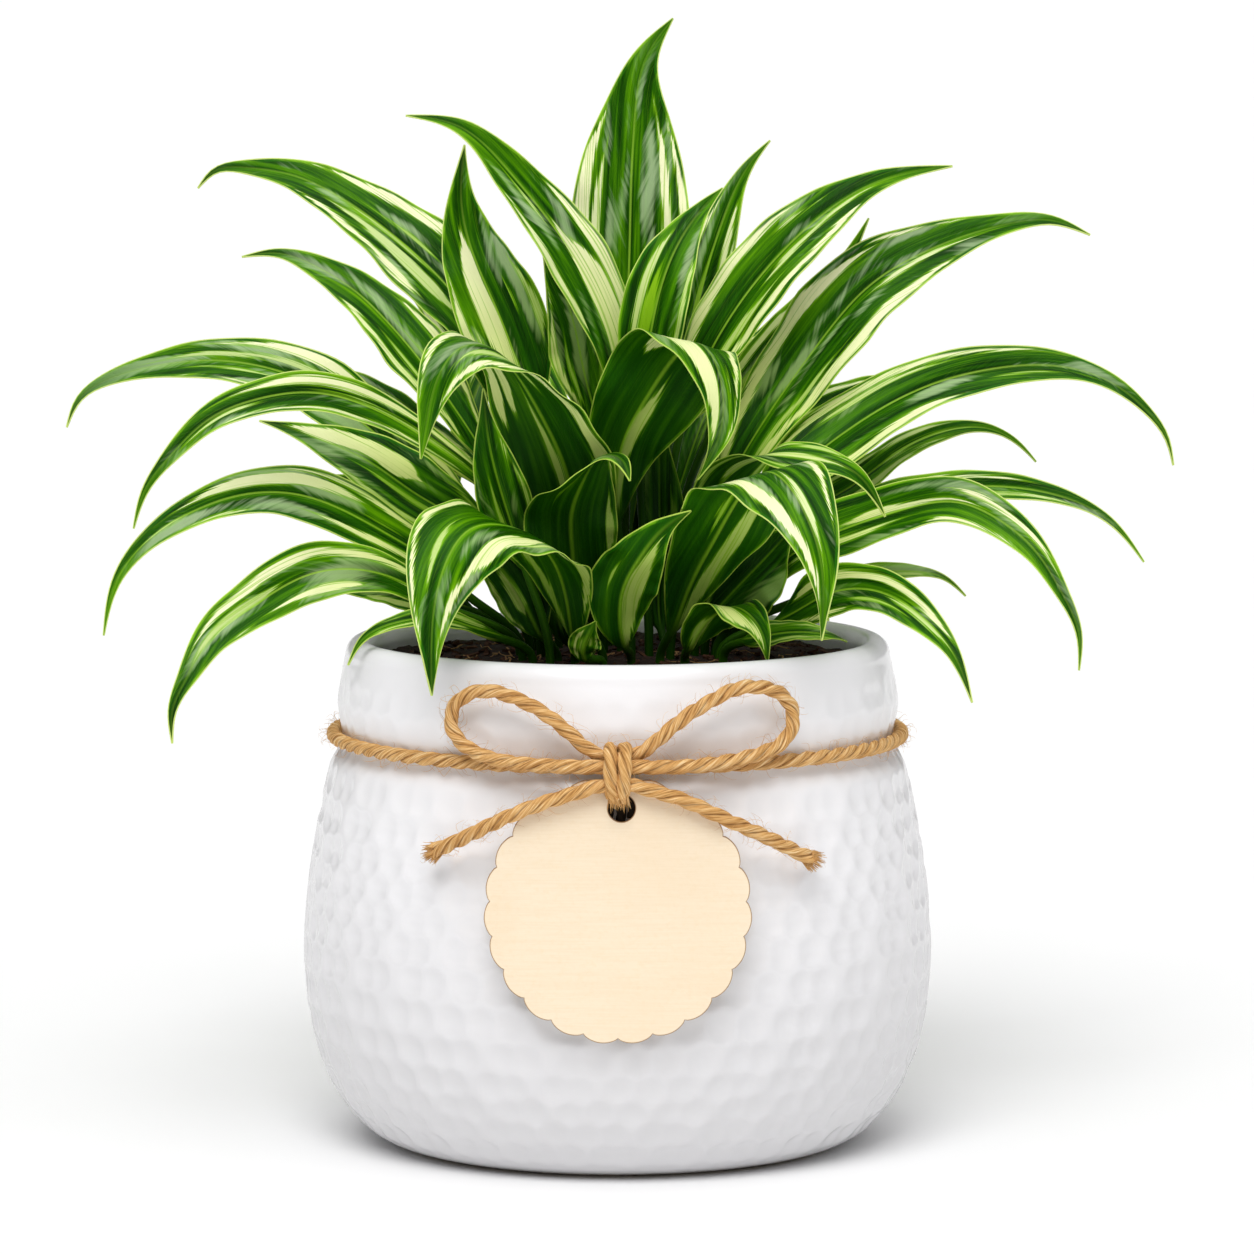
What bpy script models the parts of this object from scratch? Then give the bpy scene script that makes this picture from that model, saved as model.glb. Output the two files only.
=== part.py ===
"""Potted peace lily: a hammered white pot with a jute bow and a blank scalloped tag.

Sizes in the tables are millimetres; MM turns them into metres. +Z is up, -Y is the front of the
pot where the bow sits, and the origin is the centre of the pot's foot, on the surface it stands on.
"""
import math

import bpy
import numpy as np

MM = 0.001
GAP = 0.3
SPLINE_STEPS = 24

# Pot: a turned shell with a rounded lip and a pressed honeycomb of shallow dimples.
POT_SIDES = 60
POT_BELLY = [(60, 0), (69, 2.6), (77, 9.2), (83.6, 19.5), (88, 33), (90.4, 54), (89.6, 71), (87, 89.5),
             (84.4, 103), (82, 111)]
POT_BELLY_ROWS = 17
POT_SHARP_ANGLE = math.radians(60)
POT_NECK_RADIUS = 79.2
POT_COLLAR = [(79.9, 114.6), (POT_NECK_RADIUS, 118), (79.9, 121.4), (80.6, 126), (79.7, 134)]
POT_LIP_CENTRE = (74.1, 140.6)
POT_LIP_WIDTH = 4.1
POT_LIP_HEIGHT = 5.0
POT_LIP_STEPS = 5
POT_INNER = [(70.4, 133), (77.2, 104), (82.4, 66), (79.5, 30), (60, 8)]
DIMPLE_DEPTH = 0.55
DIMPLES_FROM = 6
DIMPLES_FADE = 92
DIMPLES_END = 112

# Soil: fills the pot to just under the lip.
SOIL_SIDES = 33
SOIL_LEVEL = 139.0
SOIL_EDGE_DROP = 0.6
SOIL_MOUND = 1.6
SOIL_MOUND_TOP = 10
SOIL_MOUND_FOOT = 66
SOIL_CLEARANCE = 0.5
SOIL_LUMPS = 0.35
SOIL_RINGS = [54, 36, 16]
HOLE_DEPTH = 8.3
HOLE_ABOVE = 6.0
HOLE_RADIUS = 2.15
HOLE_SIDES = 5

# Twine: one length of jute tied round the neck in a bow.
TWINE_RADIUS = 2.1
BAND_HEIGHT = 118.0
BAND_POINTS = 44
KNOT_HALF_WIDTH = 3.9
KNOT_SIDE = [(-80.4, 117.4), (-88.6, 117.4), (-89.7, 116.4), (-89.7, 113.2), (-90.8, 111.9), (-93.4, 111.9),
             (-94.8, 113.4), (-94.8, 121.6), (-92.6, 124.2), (-84.0, 124.2), (-80.4, 121.6)]
TIE_RADIUS = 1.5
TIE = [(0.2, -92.2, 113.5), (0.6, -91.9, 111.0), (1.0, -90.6, 109.4), (1.2, -88.2, 108.8), (1.0, -86.0, 109.8),
       (0.5, -85.0, 112.0), (0.1, -84.7, 115.0), (0, -84.7, 119.0)]
LOOP_LEFT = [(-4.2, -86.6, 121.9), (-6.4, -86.6, 122.2), (-13, -86.2, 128), (-21, -84.6, 134),
             (-29, -81.5, 137.6), (-36, -77.8, 138.8), (-42, -74.4, 137), (-45.4, -72.2, 133.2),
             (-46, -71.8, 129.5), (-44.6, -73, 125.6), (-41, -75.8, 122.6), (-35, -79.8, 120.4),
             (-24.5, -85.4, 119.4), (-13, -89.2, 119.2), (-6.4, -90.4, 119.3), (-4.2, -90.4, 119.3)]
LOOP_RIGHT = [(4.2, -86.6, 121.9), (6.4, -86.6, 122.2), (12, -86.3, 127), (19.5, -85, 133),
              (26.5, -82.6, 137), (33.5, -79.4, 139.8), (39, -76.6, 139.8), (44.6, -73, 137.8),
              (48.3, -70.6, 133), (48.4, -70.5, 128), (46.2, -72.2, 124.4), (40.4, -76.2, 121.6),
              (32, -81.4, 120), (22, -86.4, 119.2), (12, -89.4, 119.1), (6.4, -90.4, 119.3), (4.2, -90.4, 119.3)]
TAIL_LEFT = [(-4.2, -92.4, 114.4), (-6.2, -92.4, 114.2), (-10, -92.6, 112.8), (-16, -92.6, 111),
             (-22, -92.6, 109), (-28, -92.2, 106.6), (-34, -90, 103.6), (-40, -86.4, 100.2), (-45.5, -82, 97),
             (-51, -77, 94)]
TAIL_RIGHT = [(4.2, -92.4, 114.4), (6.2, -92.4, 114.2), (10, -92.6, 112.9), (16, -92.6, 111.2),
              (22, -92.6, 108.8), (28, -92.4, 106), (34, -90.2, 103), (40.5, -86.2, 99.6), (47, -81, 95.8),
              (54, -74.6, 91.4)]
TIE_POINTS = 13
TUBE_STEP = 10.5

# Tag: a scalloped disc that hangs from the tie and leans on the belly.
TAG_RADIUS = 36.9
TAG_SCALLOPS = 23
TAG_NOTCH = 1.5
TAG_POINTS_EACH = 4
TAG_BULGE = 0.8
TAG_THICKNESS = 2.2
TAG_CENTRE = (0.2, -90.6, 79.7)
TAG_LEAN = math.radians(4)
TAG_HOLE_RADIUS = 3.8
TAG_HOLE_UP = 28.1
TAG_HOLE_ASIDE = 1.0
TAG_HOLE_SIDES = 16

# Leaves: a round stalk that opens into one folded, pointed blade.
STALK_HALF_WIDTH = 1.25
STALK_THICKNESS = 2.5
STALK_BURIED = 8.0
STALK_STEPS = 2
STALK_STRAIGHT = 1.5
SLOPE_REACH = 0.6
BLADE_STATIONS = (0.1, 0.22, 0.35, 0.48, 0.6, 0.72, 0.83, 0.93, 1.0)
BLADE_EDGE_THICKNESS = 0.75
BLADE_RIB_THICKNESS = 1.7
TIP_DRAW = 0.42
TIP_DRAWN_FROM = 0.6
BLADE_FOLD = 0.34
BLADE_ROLL = -0.15
FOLD_EASING = 0.35
BLADE_WAVE = 0.1
BLADE_WAVES = 2.5
BLADE_OPEN_BY = 0.22
BLADE_TURN_FROM = 0.15
BLADE_TURN_TO = 0.85
BLADE_THIN_FROM = 0.2
STALK_LOST_BY = 0.35
TIP_HALF_WIDTH = 0.3
LEAF_SHARP_ANGLE = math.radians(50)
BROAD_BLADE = 24

# Each leaf: name, blade width, where along the blade it is widest, how full it stays beyond there, foot in
# the soil (x, y), the way the upper face looks where the blade begins and at its tip, and the midrib's
# route from the start of the blade to the tip.
LEAVES = [
    ("upper_left_1", 26, 0.38, 1.2, (-17, 16), (0.5, -0.8, 0.3), (0.1, -0.9, 0.5),
     [(-32, 25, 206), (-44, 31, 237), (-61, 39, 255), (-82, 47, 270), (-94, 50, 275.5), (-109, 52, 278),
      (-118, 52, 277), (-123, 52, 272)]),
    ("upper_left_2", 19, 0.4, 1.2, (-21, 8), (0.5, -0.8, 0.3), (0.1, -0.9, 0.5),
     [(-38, 10, 195), (-51, 14, 216), (-67, 22, 235), (-77, 26, 244), (-87, 28, 250), (-99, 30, 254),
      (-109, 30, 253)]),
    ("upper_left_3", 25, 0.4, 1.4, (-10, 4), (0.2, -1, 0.1), (0.2, -1, 0.1),
     [(-24, 4, 205), (-30, 6, 227), (-36, 8, 242), (-42, 12, 256), (-45, 15, 270), (-44, 16, 286)]),
    ("top_1", 18, 0.42, 1.5, (1, -4), (0.3, -0.9, 0.3), (0.1, -0.9, 0.5),
     [(2, -5, 208), (-3, -9, 236), (-15.5, -12, 260), (-30, -13, 278.5), (-45, -12, 292), (-60, -9, 295)]),
    ("top_2", 18, 0.4, 1.4, (-4, 3), (0.2, -1, 0.1), (0.2, -1, 0.2),
     [(-6, 4, 206), (-10, 5, 223), (-14, 6, 240), (-19, 7, 252), (-22, 8, 260)]),
    ("top_3", 34, 0.45, 1.5, (2, 10), (0, -1, 0.1), (0, -1, 0.2),
     [(1, 16, 212), (3, 20, 244), (4, 24, 277), (5, 26, 294), (8, 28, 310), (16, 28, 322)]),
    ("top_4", 19, 0.42, 1.5, (9, -5), (-0.2, -1, 0.1), (-0.2, -1, 0.2),
     [(6.5, -10, 208), (9.5, -14, 234), (15, -11, 254), (23, -4, 267), (30, 3, 274)]),
    ("top_5", 15, 0.42, 1.5, (9, 9), (-0.2, -1, 0.1), (-0.2, -1, 0.2),
     [(16, 11, 207), (24, 15, 244), (31, 19, 266), (38, 22, 280), (44, 22, 287)]),
    ("upper_right_1", 21, 0.4, 1.4, (14, 3), (-0.4, -0.9, 0.3), (0, -0.9, 0.5),
     [(18, 0, 205), (29, 0, 232), (41, 3, 249), (56, 7, 264), (76, 11, 276), (96, 10, 280)]),
    ("upper_right_2", 13, 0.4, 1.4, (14, 15), (-0.4, -0.9, 0.3), (0, -0.9, 0.5),
     [(26, 24, 200), (40, 30, 220), (55, 34, 237), (66, 36, 251), (73, 36, 264)]),
    ("upper_right_3", 27, 0.46, 1.1, (20, 6), (-0.5, -0.8, 0.3), (0, -0.9, 0.5),
     [(27, 6, 176), (34, 6, 193), (49, 10, 217), (61, 13, 233), (71, 16, 244), (91, 20, 256), (113, 20, 263),
      (125, 18, 264), (136, 16, 260)]),
    ("right_1", 21, 0.32, 1.0, (25, 0), (-0.5, -0.8, 0.3), (0, -0.9, 0.5),
     [(36, -1.5, 169), (46, -2, 187), (65, 3, 204), (89, 8, 217), (109, 10, 222), (120, 9, 223), (131, 7, 222),
      (142, 4, 218), (151, 1, 211), (157, -1, 203), (159, -2, 195)]),
    ("right_2", 11, 0.3, 1.0, (25, 9), (-0.5, -0.8, 0.3), (0, -0.9, 0.5),
     [(48, 12, 177), (67, 18, 187), (82, 26, 197), (94, 31, 202), (107, 34, 203), (116, 35, 199), (122, 35, 193)]),
    ("right_3", 11, 0.3, 1.2, (28, 4), (-0.5, -0.8, 0.4), (0, -0.9, 0.5),
     [(52, 5, 172), (78, 6, 184), (98, 6, 188), (113, 6, 188), (129, 4, 185), (142, 2, 178), (151, 0, 167)]),
    ("right_4", 17, 0.32, 1.2, (28, -5), (-0.5, -0.8, 0.4), (0, -0.9, 0.5),
     [(38, -6, 155), (46, -7, 166), (66, -10, 178), (83, -15, 184), (96, -20, 186), (107, -25, 182), (118, -30, 173),
      (125, -34, 162), (130, -37, 150), (130, -38, 140)]),
    ("right_5", 7, 0.3, 1.1, (30, 0), (-0.5, -0.8, 0.4), (0, -0.9, 0.5),
     [(50, 2, 155), (67, 3, 162), (84, 4, 164), (94, 4, 162), (100, 2, 157)]),
    ("right_6", 15, 0.25, 1.4, (29, -12), (-0.5, -0.8, 0.4), (0, -0.9, 0.5),
     [(45, -16, 151), (59, -24, 160), (73, -33, 162), (86, -43, 155), (94, -50, 146), (99, -56, 133)]),
    ("right_7", 8, 0.3, 1.2, (30, -18), (-0.5, -0.6, 0.6), (0, -0.7, 0.7),
     [(36, -27, 147), (47, -32, 150), (58, -31, 149.5), (65, -23, 146.5)]),
    ("left_1", 19, 0.43, 1.25, (-24, 12), (0.5, -0.8, 0.3), (0, -0.9, 0.5),
     [(-40, 12.5, 171), (-48, 13, 185), (-67, 15, 200.5), (-89, 18, 217), (-104, 21, 222), (-119, 22, 223.5),
      (-133, 20, 222), (-146.5, 16, 218.5), (-155, 13, 213), (-158.5, 10, 205)]),
    ("left_2", 11.5, 0.5, 1.5, (-22, -4), (0.5, -0.8, 0.3), (0, -0.9, 0.5),
     [(-33, -12, 185), (-50, -15, 200.5), (-66, -19, 211), (-87, -25, 217.5), (-101, -29, 216), (-114, -32, 211),
      (-125, -34, 201), (-133, -36, 190), (-136, -37, 180)]),
    ("left_3", 20, 0.52, 1.3, (-25, 5), (0.5, -0.8, 0.3), (0, -0.9, 0.5),
     [(-33, 3, 158), (-42, 0, 176), (-57, 1, 186), (-72, 3, 196), (-83, 4, 201), (-93, 6, 204.5), (-103, 8, 207)]),
    ("left_4", 16.5, 0.36, 1.15, (-27, -3), (0.5, -0.8, 0.3), (0, -0.9, 0.5),
     [(-43, -5, 158), (-48, -6, 163), (-67, -12, 177), (-91, -18, 188), (-108, -24, 188), (-121, -29, 183.5),
      (-133, -33, 175.5), (-141, -36, 165), (-144.5, -39, 150)]),
    ("left_5", 16.5, 0.42, 1.5, (-27, -13), (0.5, -0.8, 0.4), (0, -0.9, 0.5),
     [(-48, -19, 155.5), (-64, -25, 165), (-86, -34, 167), (-102, -43, 159), (-113, -50, 151), (-120, -55, 140),
      (-124, -58, 131), (-124, -60, 122)]),
    ("left_6", 14, 0.4, 1.4, (-28, 1), (0.5, -0.8, 0.4), (0, -0.9, 0.5),
     [(-42, 0, 153), (-60, 0, 159), (-74, 2, 160), (-86, 4, 158)]),
    ("left_7", 6.5, 0.4, 1.3, (-24, -22), (0.5, -0.6, 0.6), (0, -0.7, 0.7),
     [(-33, -28, 148), (-50, -31, 154), (-62, -33, 153), (-72, -33, 148), (-76, -34, 141)]),
    ("front_1", 36, 0.42, 1.45, (-8, -14), (0.38, 0.9, 0.1), (0.26, -0.4, 0.9),
     [(-8, -20, 160), (-11, -23.5, 180), (-14.5, -27.5, 197), (-21, -33, 212), (-28.5, -41, 225),
      (-36, -49, 232), (-43.5, -56, 232), (-50, -61, 223), (-53, -61, 211), (-54.5, -60, 201.5)]),
    ("front_2", 15, 0.4, 1.4, (-19, -28), (0.1, -1, 0.1), (0.1, -1, 0.1),
     [(-26, -28.5, 168), (-30, -31.5, 181), (-34, -36.5, 195), (-36.5, -41, 208), (-37.5, -43.5, 220)]),
    ("front_3", 26, 0.42, 1.6, (-4, -22), (0.0, 0.95, 0.1), (0, -0.3, 0.95),
     [(-10, -28, 153), (-12.5, -32, 171), (-13, -36, 184), (-10, -42, 194), (-5, -47, 201), (0.5, -51, 201),
      (3.5, -55, 195)]),
    ("front_4", 30, 0.44, 1.4, (4, -10), (0.2, 0.95, 0.1), (0.2, -0.35, 0.9),
     [(0, -15, 180), (2, -18, 203), (9, -23, 217), (16, -30, 228), (22, -39, 232.5), (27, -47, 228),
      (29.5, -51, 216), (28, -52, 206), (22.5, -51, 195)]),
    ("front_5", 16, 0.4, 1.4, (15, -14), (-0.3, 0.9, 0.4), (0, -0.8, 0.6),
     [(21, -24, 170), (27, -30, 190), (38, -38, 200), (53, -42, 201), (67, -44, 196), (75, -44, 184)]),
    ("front_6", 32, 0.44, 1.4, (12, -23), (-0.3, 0.95, 0.1), (-0.2, -0.35, 0.9),
     [(15, -30, 150), (19, -34, 161), (27, -42, 178), (35, -56, 193), (43, -71, 198.5), (51, -83, 189.5),
      (56, -89, 174), (56, -89, 154)]),
    ("front_7", 19, 0.4, 1.4, (4, -28), (-0.1, 0.9, 0.1), (0, 0.9, 0.2),
     [(2, -38, 147), (1, -46, 161), (6, -54, 173), (13, -57, 182), (20.5, -59, 187)]),
    ("front_8", 34, 0.44, 1.4, (-12, -24), (0.6, 0.75, 0.1), (0.2, -0.5, 0.85),
     [(-12, -34, 148), (-15, -42, 166), (-22, -53, 178.5), (-32, -64, 183.5), (-41.5, -74, 182.5),
      (-48.5, -81, 170.5), (-51, -83, 155), (-51, -82, 138)]),
    ("front_9", 16, 0.4, 1.4, (-17, -18), (0.2, 0.9, 0.1), (0.2, 0.9, 0.1),
     [(-21, -24, 148), (-27, -24, 159), (-34, -24, 169), (-41, -24, 179)]),
    ("front_10", 9, 0.4, 1.4, (-4, -33), (0.1, 0.9, 0.1), (0.1, 0.9, 0.1),
     [(-9, -42, 144), (-9, -46, 149), (-6, -48, 155)]),
    ("front_11", 15, 0.4, 1.4, (19, -27), (-0.3, 0.9, 0.4), (0, -0.7, 0.6),
     [(20, -36, 146), (25, -42, 155), (33, -48, 159), (40, -54, 153), (42, -52, 144)]),
    ("inner_1", 17, 0.35, 1.3, (14, -4), (0, -1, 0.1), (0, -1, 0.1),
     [(12.5, -2.5, 148), (12, -2, 165), (12, -2, 186), (12, -2.5, 214)]),
    ("inner_2", 19, 0.35, 1.3, (-8, -7), (0, -1, 0.1), (0, -1, 0.1),
     [(-11, -9, 144), (-14, -9.5, 160), (-17, -10, 178), (-20, -10, 200)]),
    ("inner_3", 26, 0.42, 1.4, (22, -5), (-0.4, -1, 0.2), (-0.4, -1, 0.2),
     [(26, -8, 151), (33.5, -10, 160), (42, -11, 169), (51, -11.5, 179)]),
    ("back_1", 21, 0.4, 1.4, (-2, 20), (0, -1, 0.3), (0, -0.4, 0.9),
     [(-5, 34, 208), (-7, 50, 239), (-7, 66, 264), (-5, 84, 279)]),
    ("back_2", 25, 0.4, 1.4, (3, 27), (0, -0.8, 0.6), (0.1, 0.5, 0.8),
     [(4, 44, 178), (8, 72, 232), (10, 106, 256), (11, 140, 242), (12, 160, 212)]),
    ("back_3", 23, 0.4, 1.4, (-6, 31), (0.3, -0.7, 0.6), (-0.3, 0.5, 0.8),
     [(-12, 50, 168), (-26, 80, 206), (-38, 112, 216), (-48, 142, 190), (-52, 154, 164)]),
    ("back_4", 23, 0.4, 1.4, (9, 31), (-0.3, -0.7, 0.6), (0.3, 0.5, 0.8),
     [(14, 50, 168), (28, 80, 208), (42, 112, 220), (54, 140, 196), (58, 154, 168)]),
    ("back_5", 23, 0.4, 1.4, (-1, 35), (0, -0.7, 0.7), (0, 0.7, 0.6),
     [(-4, 54, 158), (-10, 84, 178), (-16, 112, 170), (-18, 132, 140)]),
    ("back_6", 20, 0.4, 1.4, (14, 29), (-0.3, -0.7, 0.6), (0.3, 0.6, 0.6),
     [(24, 50, 156), (42, 76, 174), (56, 98, 166), (64, 112, 138)]),
    ("back_right_1", 18, 0.4, 1.4, (15, 22), (-0.5, -0.8, 0.4), (0, -0.6, 0.8),
     [(24, 40, 184), (51, 62, 200), (76, 80, 209), (98, 92, 213), (116, 98, 211)]),
    ("back_right_2", 20, 0.4, 1.4, (9, 24), (-0.5, -0.8, 0.4), (0, -0.6, 0.8),
     [(18, 44, 202), (42, 66, 220), (69, 84, 237), (92, 94, 249), (110, 98, 255)]),
    ("back_right_3", 17, 0.4, 1.4, (22, 15), (-0.5, -0.8, 0.4), (0, -0.6, 0.8),
     [(36, 40, 161), (63, 66, 171), (89, 84, 177), (115, 94, 177)]),
    ("back_left_1", 20, 0.4, 1.4, (-11, 25), (0.5, -0.8, 0.4), (0, -0.6, 0.8),
     [(-21, 46, 199), (-46, 64, 230), (-69, 80, 256), (-93, 88, 271)]),
    ("back_left_2", 19, 0.4, 1.4, (-20, 20), (0.5, -0.8, 0.4), (0, -0.6, 0.8),
     [(-37, 42, 184), (-63, 62, 200), (-87, 78, 212), (-113, 90, 217), (-133, 96, 215)]),
    ("back_left_3", 18, 0.4, 1.4, (-24, 17), (0.5, -0.8, 0.4), (0, -0.6, 0.8),
     [(-40, 38, 161), (-64, 60, 172), (-92, 80, 180), (-120, 96, 176), (-137, 104, 164)]),
]


def clear_scene():
    for existing in list(bpy.data.objects):
        bpy.data.objects.remove(existing, do_unlink=True)


def make_material(name, colour, roughness):
    material = bpy.data.materials.new(name)
    material.use_nodes = True
    shader = material.node_tree.nodes["Principled BSDF"]
    shader.inputs["Base Color"].default_value = (*colour, 1)
    shader.inputs["Roughness"].default_value = roughness
    return material


def add_mesh(name, points, faces, material, smooth_angle=None):
    """A mesh object from points in millimetres."""
    mesh = bpy.data.meshes.new(name)
    mesh.from_pydata([tuple(MM * value for value in point) for point in points], [], faces)
    mesh.materials.append(material)
    if smooth_angle is not None:
        mesh.shade_smooth()
        mesh.set_sharp_from_angle(angle=smooth_angle)
    thing = bpy.data.objects.new(name, mesh)
    bpy.context.collection.objects.link(thing)
    return thing


def smoothstep(value, start, end):
    share = min(max((value - start) / (end - start), 0.0), 1.0)
    return share * share * (3 - 2 * share)


def spline_points(points, count, start_slope=None):
    """Points at even steps along a cubic spline, and the length from its start to each given point.

    The spline leaves its first point along start_slope, or straight where none is given.
    """
    given = np.array(points, dtype=float)
    steps = np.linalg.norm(np.diff(given, axis=0), axis=1)
    slopes = np.diff(given, axis=0) / steps[:, None]
    last = len(given) - 1
    system = np.eye(last + 1)
    right = np.zeros_like(given)
    if start_slope is not None:
        system[0, 0:2] = 2 * steps[0], steps[0]
        right[0] = 6 * (slopes[0] - np.array(start_slope, dtype=float))
    for i in range(1, last):
        system[i, i - 1:i + 2] = steps[i - 1], 2 * (steps[i - 1] + steps[i]), steps[i]
        right[i] = 6 * (slopes[i] - slopes[i - 1])
    bends = np.linalg.solve(system, right)
    fine = [given[0]]
    knots = [0]
    for i in range(last):
        h = steps[i]
        for s in np.linspace(0, h, SPLINE_STEPS + 1)[1:]:
            fine.append(given[i] + s * (slopes[i] - h * (2 * bends[i] + bends[i + 1]) / 6)
                        + s * s * bends[i] / 2 + s ** 3 * (bends[i + 1] - bends[i]) / (6 * h))
        knots.append(len(fine) - 1)
    fine = np.array(fine)
    along = np.concatenate([[0], np.cumsum(np.linalg.norm(np.diff(fine, axis=0), axis=1))])
    lengths = along[knots]
    if count is None:
        return fine, along, lengths
    wanted = np.linspace(0, along[-1], count)
    return np.column_stack([np.interp(wanted, along, fine[:, k]) for k in range(fine.shape[1])]), wanted, lengths


def stacked_rings(profile, sides, dimple):
    """Points and faces of a turned shape whose rows of points are offset by half a step.

    dimple(row, z) is how far the centre of each honeycomb cell is pressed in on a row.
    """
    points = []
    faces = []
    for row, (radius, z) in enumerate(profile):
        for i in range(sides):
            is_cell_centre = (i - row // 2 - row) % 3 == 0
            pressed = dimple(row, z) if is_cell_centre else 0
            angle = 2 * math.pi * (i + 0.5 * (row % 2)) / sides
            points.append(((radius - pressed) * math.cos(angle), (radius - pressed) * math.sin(angle), z))
    for row in range(len(profile) - 1):
        low, high = row * sides, (row + 1) * sides
        for i in range(sides):
            j = (i + 1) % sides
            if row % 2 == 0:
                faces += [(low + i, low + j, high + i), (low + j, high + j, high + i)]
            else:
                faces += [(low + i, low + j, high + j), (low + i, high + j, high + i)]
    return points, faces


def build_pot(material):
    belly, _, _ = spline_points(POT_BELLY, POT_BELLY_ROWS)
    lip = []
    for step in range(POT_LIP_STEPS + 1):
        turn = math.pi * step / POT_LIP_STEPS
        lip.append((POT_LIP_CENTRE[0] + POT_LIP_WIDTH * math.cos(turn),
                    POT_LIP_CENTRE[1] + POT_LIP_HEIGHT * math.sin(turn)))
    profile = [tuple(point) for point in belly] + POT_COLLAR + lip + POT_INNER

    def dimple(row, z):
        if row >= POT_BELLY_ROWS or z < DIMPLES_FROM:
            return 0
        return DIMPLE_DEPTH * (1 - smoothstep(z, DIMPLES_FADE, DIMPLES_END))

    points, faces = stacked_rings(profile, POT_SIDES, dimple)
    faces.append(tuple(reversed(range(POT_SIDES))))
    top = (len(profile) - 1) * POT_SIDES
    faces.append(tuple(range(top, top + POT_SIDES)))
    return add_mesh("pot", points, faces, material, POT_SHARP_ANGLE)


def soil_height(x, y):
    """Height of the soil, a low mound with lumps."""
    radius = math.hypot(x, y)
    lumps = SOIL_LUMPS * (math.sin(0.31 * x + 0.9) * math.cos(0.27 * y) + math.sin(0.17 * x - 0.23 * y))
    return SOIL_LEVEL + SOIL_MOUND * (1 - smoothstep(radius, SOIL_MOUND_TOP, SOIL_MOUND_FOOT)) + lumps


def build_soil(material, feet):
    """The soil, with a plain blind hole for each stalk."""
    wall = [(radius - SOIL_CLEARANCE, z) for radius, z in reversed(POT_INNER)]
    floor_radius, floor_height = wall[0]
    wall[0] = (floor_radius, floor_height + GAP)
    wall.append((POT_LIP_CENTRE[0] - POT_LIP_WIDTH - SOIL_CLEARANCE, SOIL_LEVEL - SOIL_EDGE_DROP))
    points = []
    for radius, z in wall:
        points += ring_points(radius, SOIL_SIDES, z)
    for radius in SOIL_RINGS:
        points += [(x, y, soil_height(x, y)) for x, y, _ in ring_points(radius, SOIL_SIDES, 0)]
    rows = len(wall) + len(SOIL_RINGS)
    faces = []
    for row in range(rows - 1):
        for i in range(SOIL_SIDES):
            j = (i + 1) % SOIL_SIDES
            low, high = row * SOIL_SIDES, (row + 1) * SOIL_SIDES
            faces += [(low + i, low + j, high + j), (low + i, high + j, high + i)]
    top = (rows - 1) * SOIL_SIDES
    points.append((0, 0, soil_height(0, 0)))
    for i in range(SOIL_SIDES):
        faces.append((top + i, top + (i + 1) % SOIL_SIDES, len(points) - 1))
    faces.append(tuple(reversed(range(SOIL_SIDES))))
    soil = add_mesh("soil", points, faces, material)

    holes = bpy.data.collections.new("stalk_holes")
    bpy.context.scene.collection.children.link(holes)
    for number, (x, y) in enumerate(feet):
        bottom = SOIL_LEVEL - HOLE_DEPTH
        corners = [(x + cx, y + cy, z) for z in (bottom, SOIL_LEVEL + HOLE_ABOVE)
                   for cx, cy, _ in ring_points(HOLE_RADIUS, HOLE_SIDES, 0)]
        sides = [(i, (i + 1) % HOLE_SIDES, HOLE_SIDES + (i + 1) % HOLE_SIDES, HOLE_SIDES + i)
                 for i in range(HOLE_SIDES)]
        ends = [tuple(reversed(range(HOLE_SIDES))), tuple(range(HOLE_SIDES, 2 * HOLE_SIDES))]
        cutter = add_mesh(f"stalk_hole_{number}", corners, sides + ends, material)
        bpy.context.collection.objects.unlink(cutter)
        holes.objects.link(cutter)
        cutter.hide_render = True
        cutter.display_type = "WIRE"
    cut = soil.modifiers.new("stalk holes", "BOOLEAN")
    cut.operation = "DIFFERENCE"
    cut.operand_type = "COLLECTION"
    cut.collection = holes
    cut.solver = "EXACT"
    return soil


def ring_points(radius, sides, z):
    return [(radius * math.cos(2 * math.pi * i / sides), radius * math.sin(2 * math.pi * i / sides), z)
            for i in range(sides)]


def build_tube(name, route, radius, material):
    """A round cord along a route of points in millimetres, with flat ends."""
    curve = bpy.data.curves.new(name, "CURVE")
    curve.dimensions = "3D"
    curve.bevel_depth = radius * MM
    curve.bevel_resolution = 2
    curve.use_fill_caps = True
    spline = curve.splines.new("POLY")
    spline.points.add(len(route) - 1)
    for point, place in zip(spline.points, route):
        point.co = (*(MM * value for value in place), 1)
    curve.materials.append(material)
    thing = bpy.data.objects.new(name, curve)
    bpy.context.collection.objects.link(thing)
    return thing


def build_band(material):
    """The turn of twine round the pot's neck, from one side of the knot to the other."""
    radius = POT_NECK_RADIUS + GAP + TWINE_RADIUS
    start = math.asin((KNOT_HALF_WIDTH + GAP) / radius)
    route = []
    for i in range(BAND_POINTS):
        angle = -math.pi / 2 + start + (2 * math.pi - 2 * start) * i / (BAND_POINTS - 1)
        route.append((radius * math.cos(angle), radius * math.sin(angle), BAND_HEIGHT))
    return build_tube("twine_band", route, TWINE_RADIUS, material)


def build_free_twine(name, route, returns, material):
    """A stretch that leaves the knot square to its side, and returns to it where it is a loop."""
    free = route[1:-1] if returns else route[1:]
    _, along, _ = spline_points(free, None)
    points, _, _ = spline_points(free, round(along[-1] / TUBE_STEP) + 1)
    points = [route[0], *points] + ([route[-1]] if returns else [])
    return build_tube(name, points, TWINE_RADIUS, material)


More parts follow.
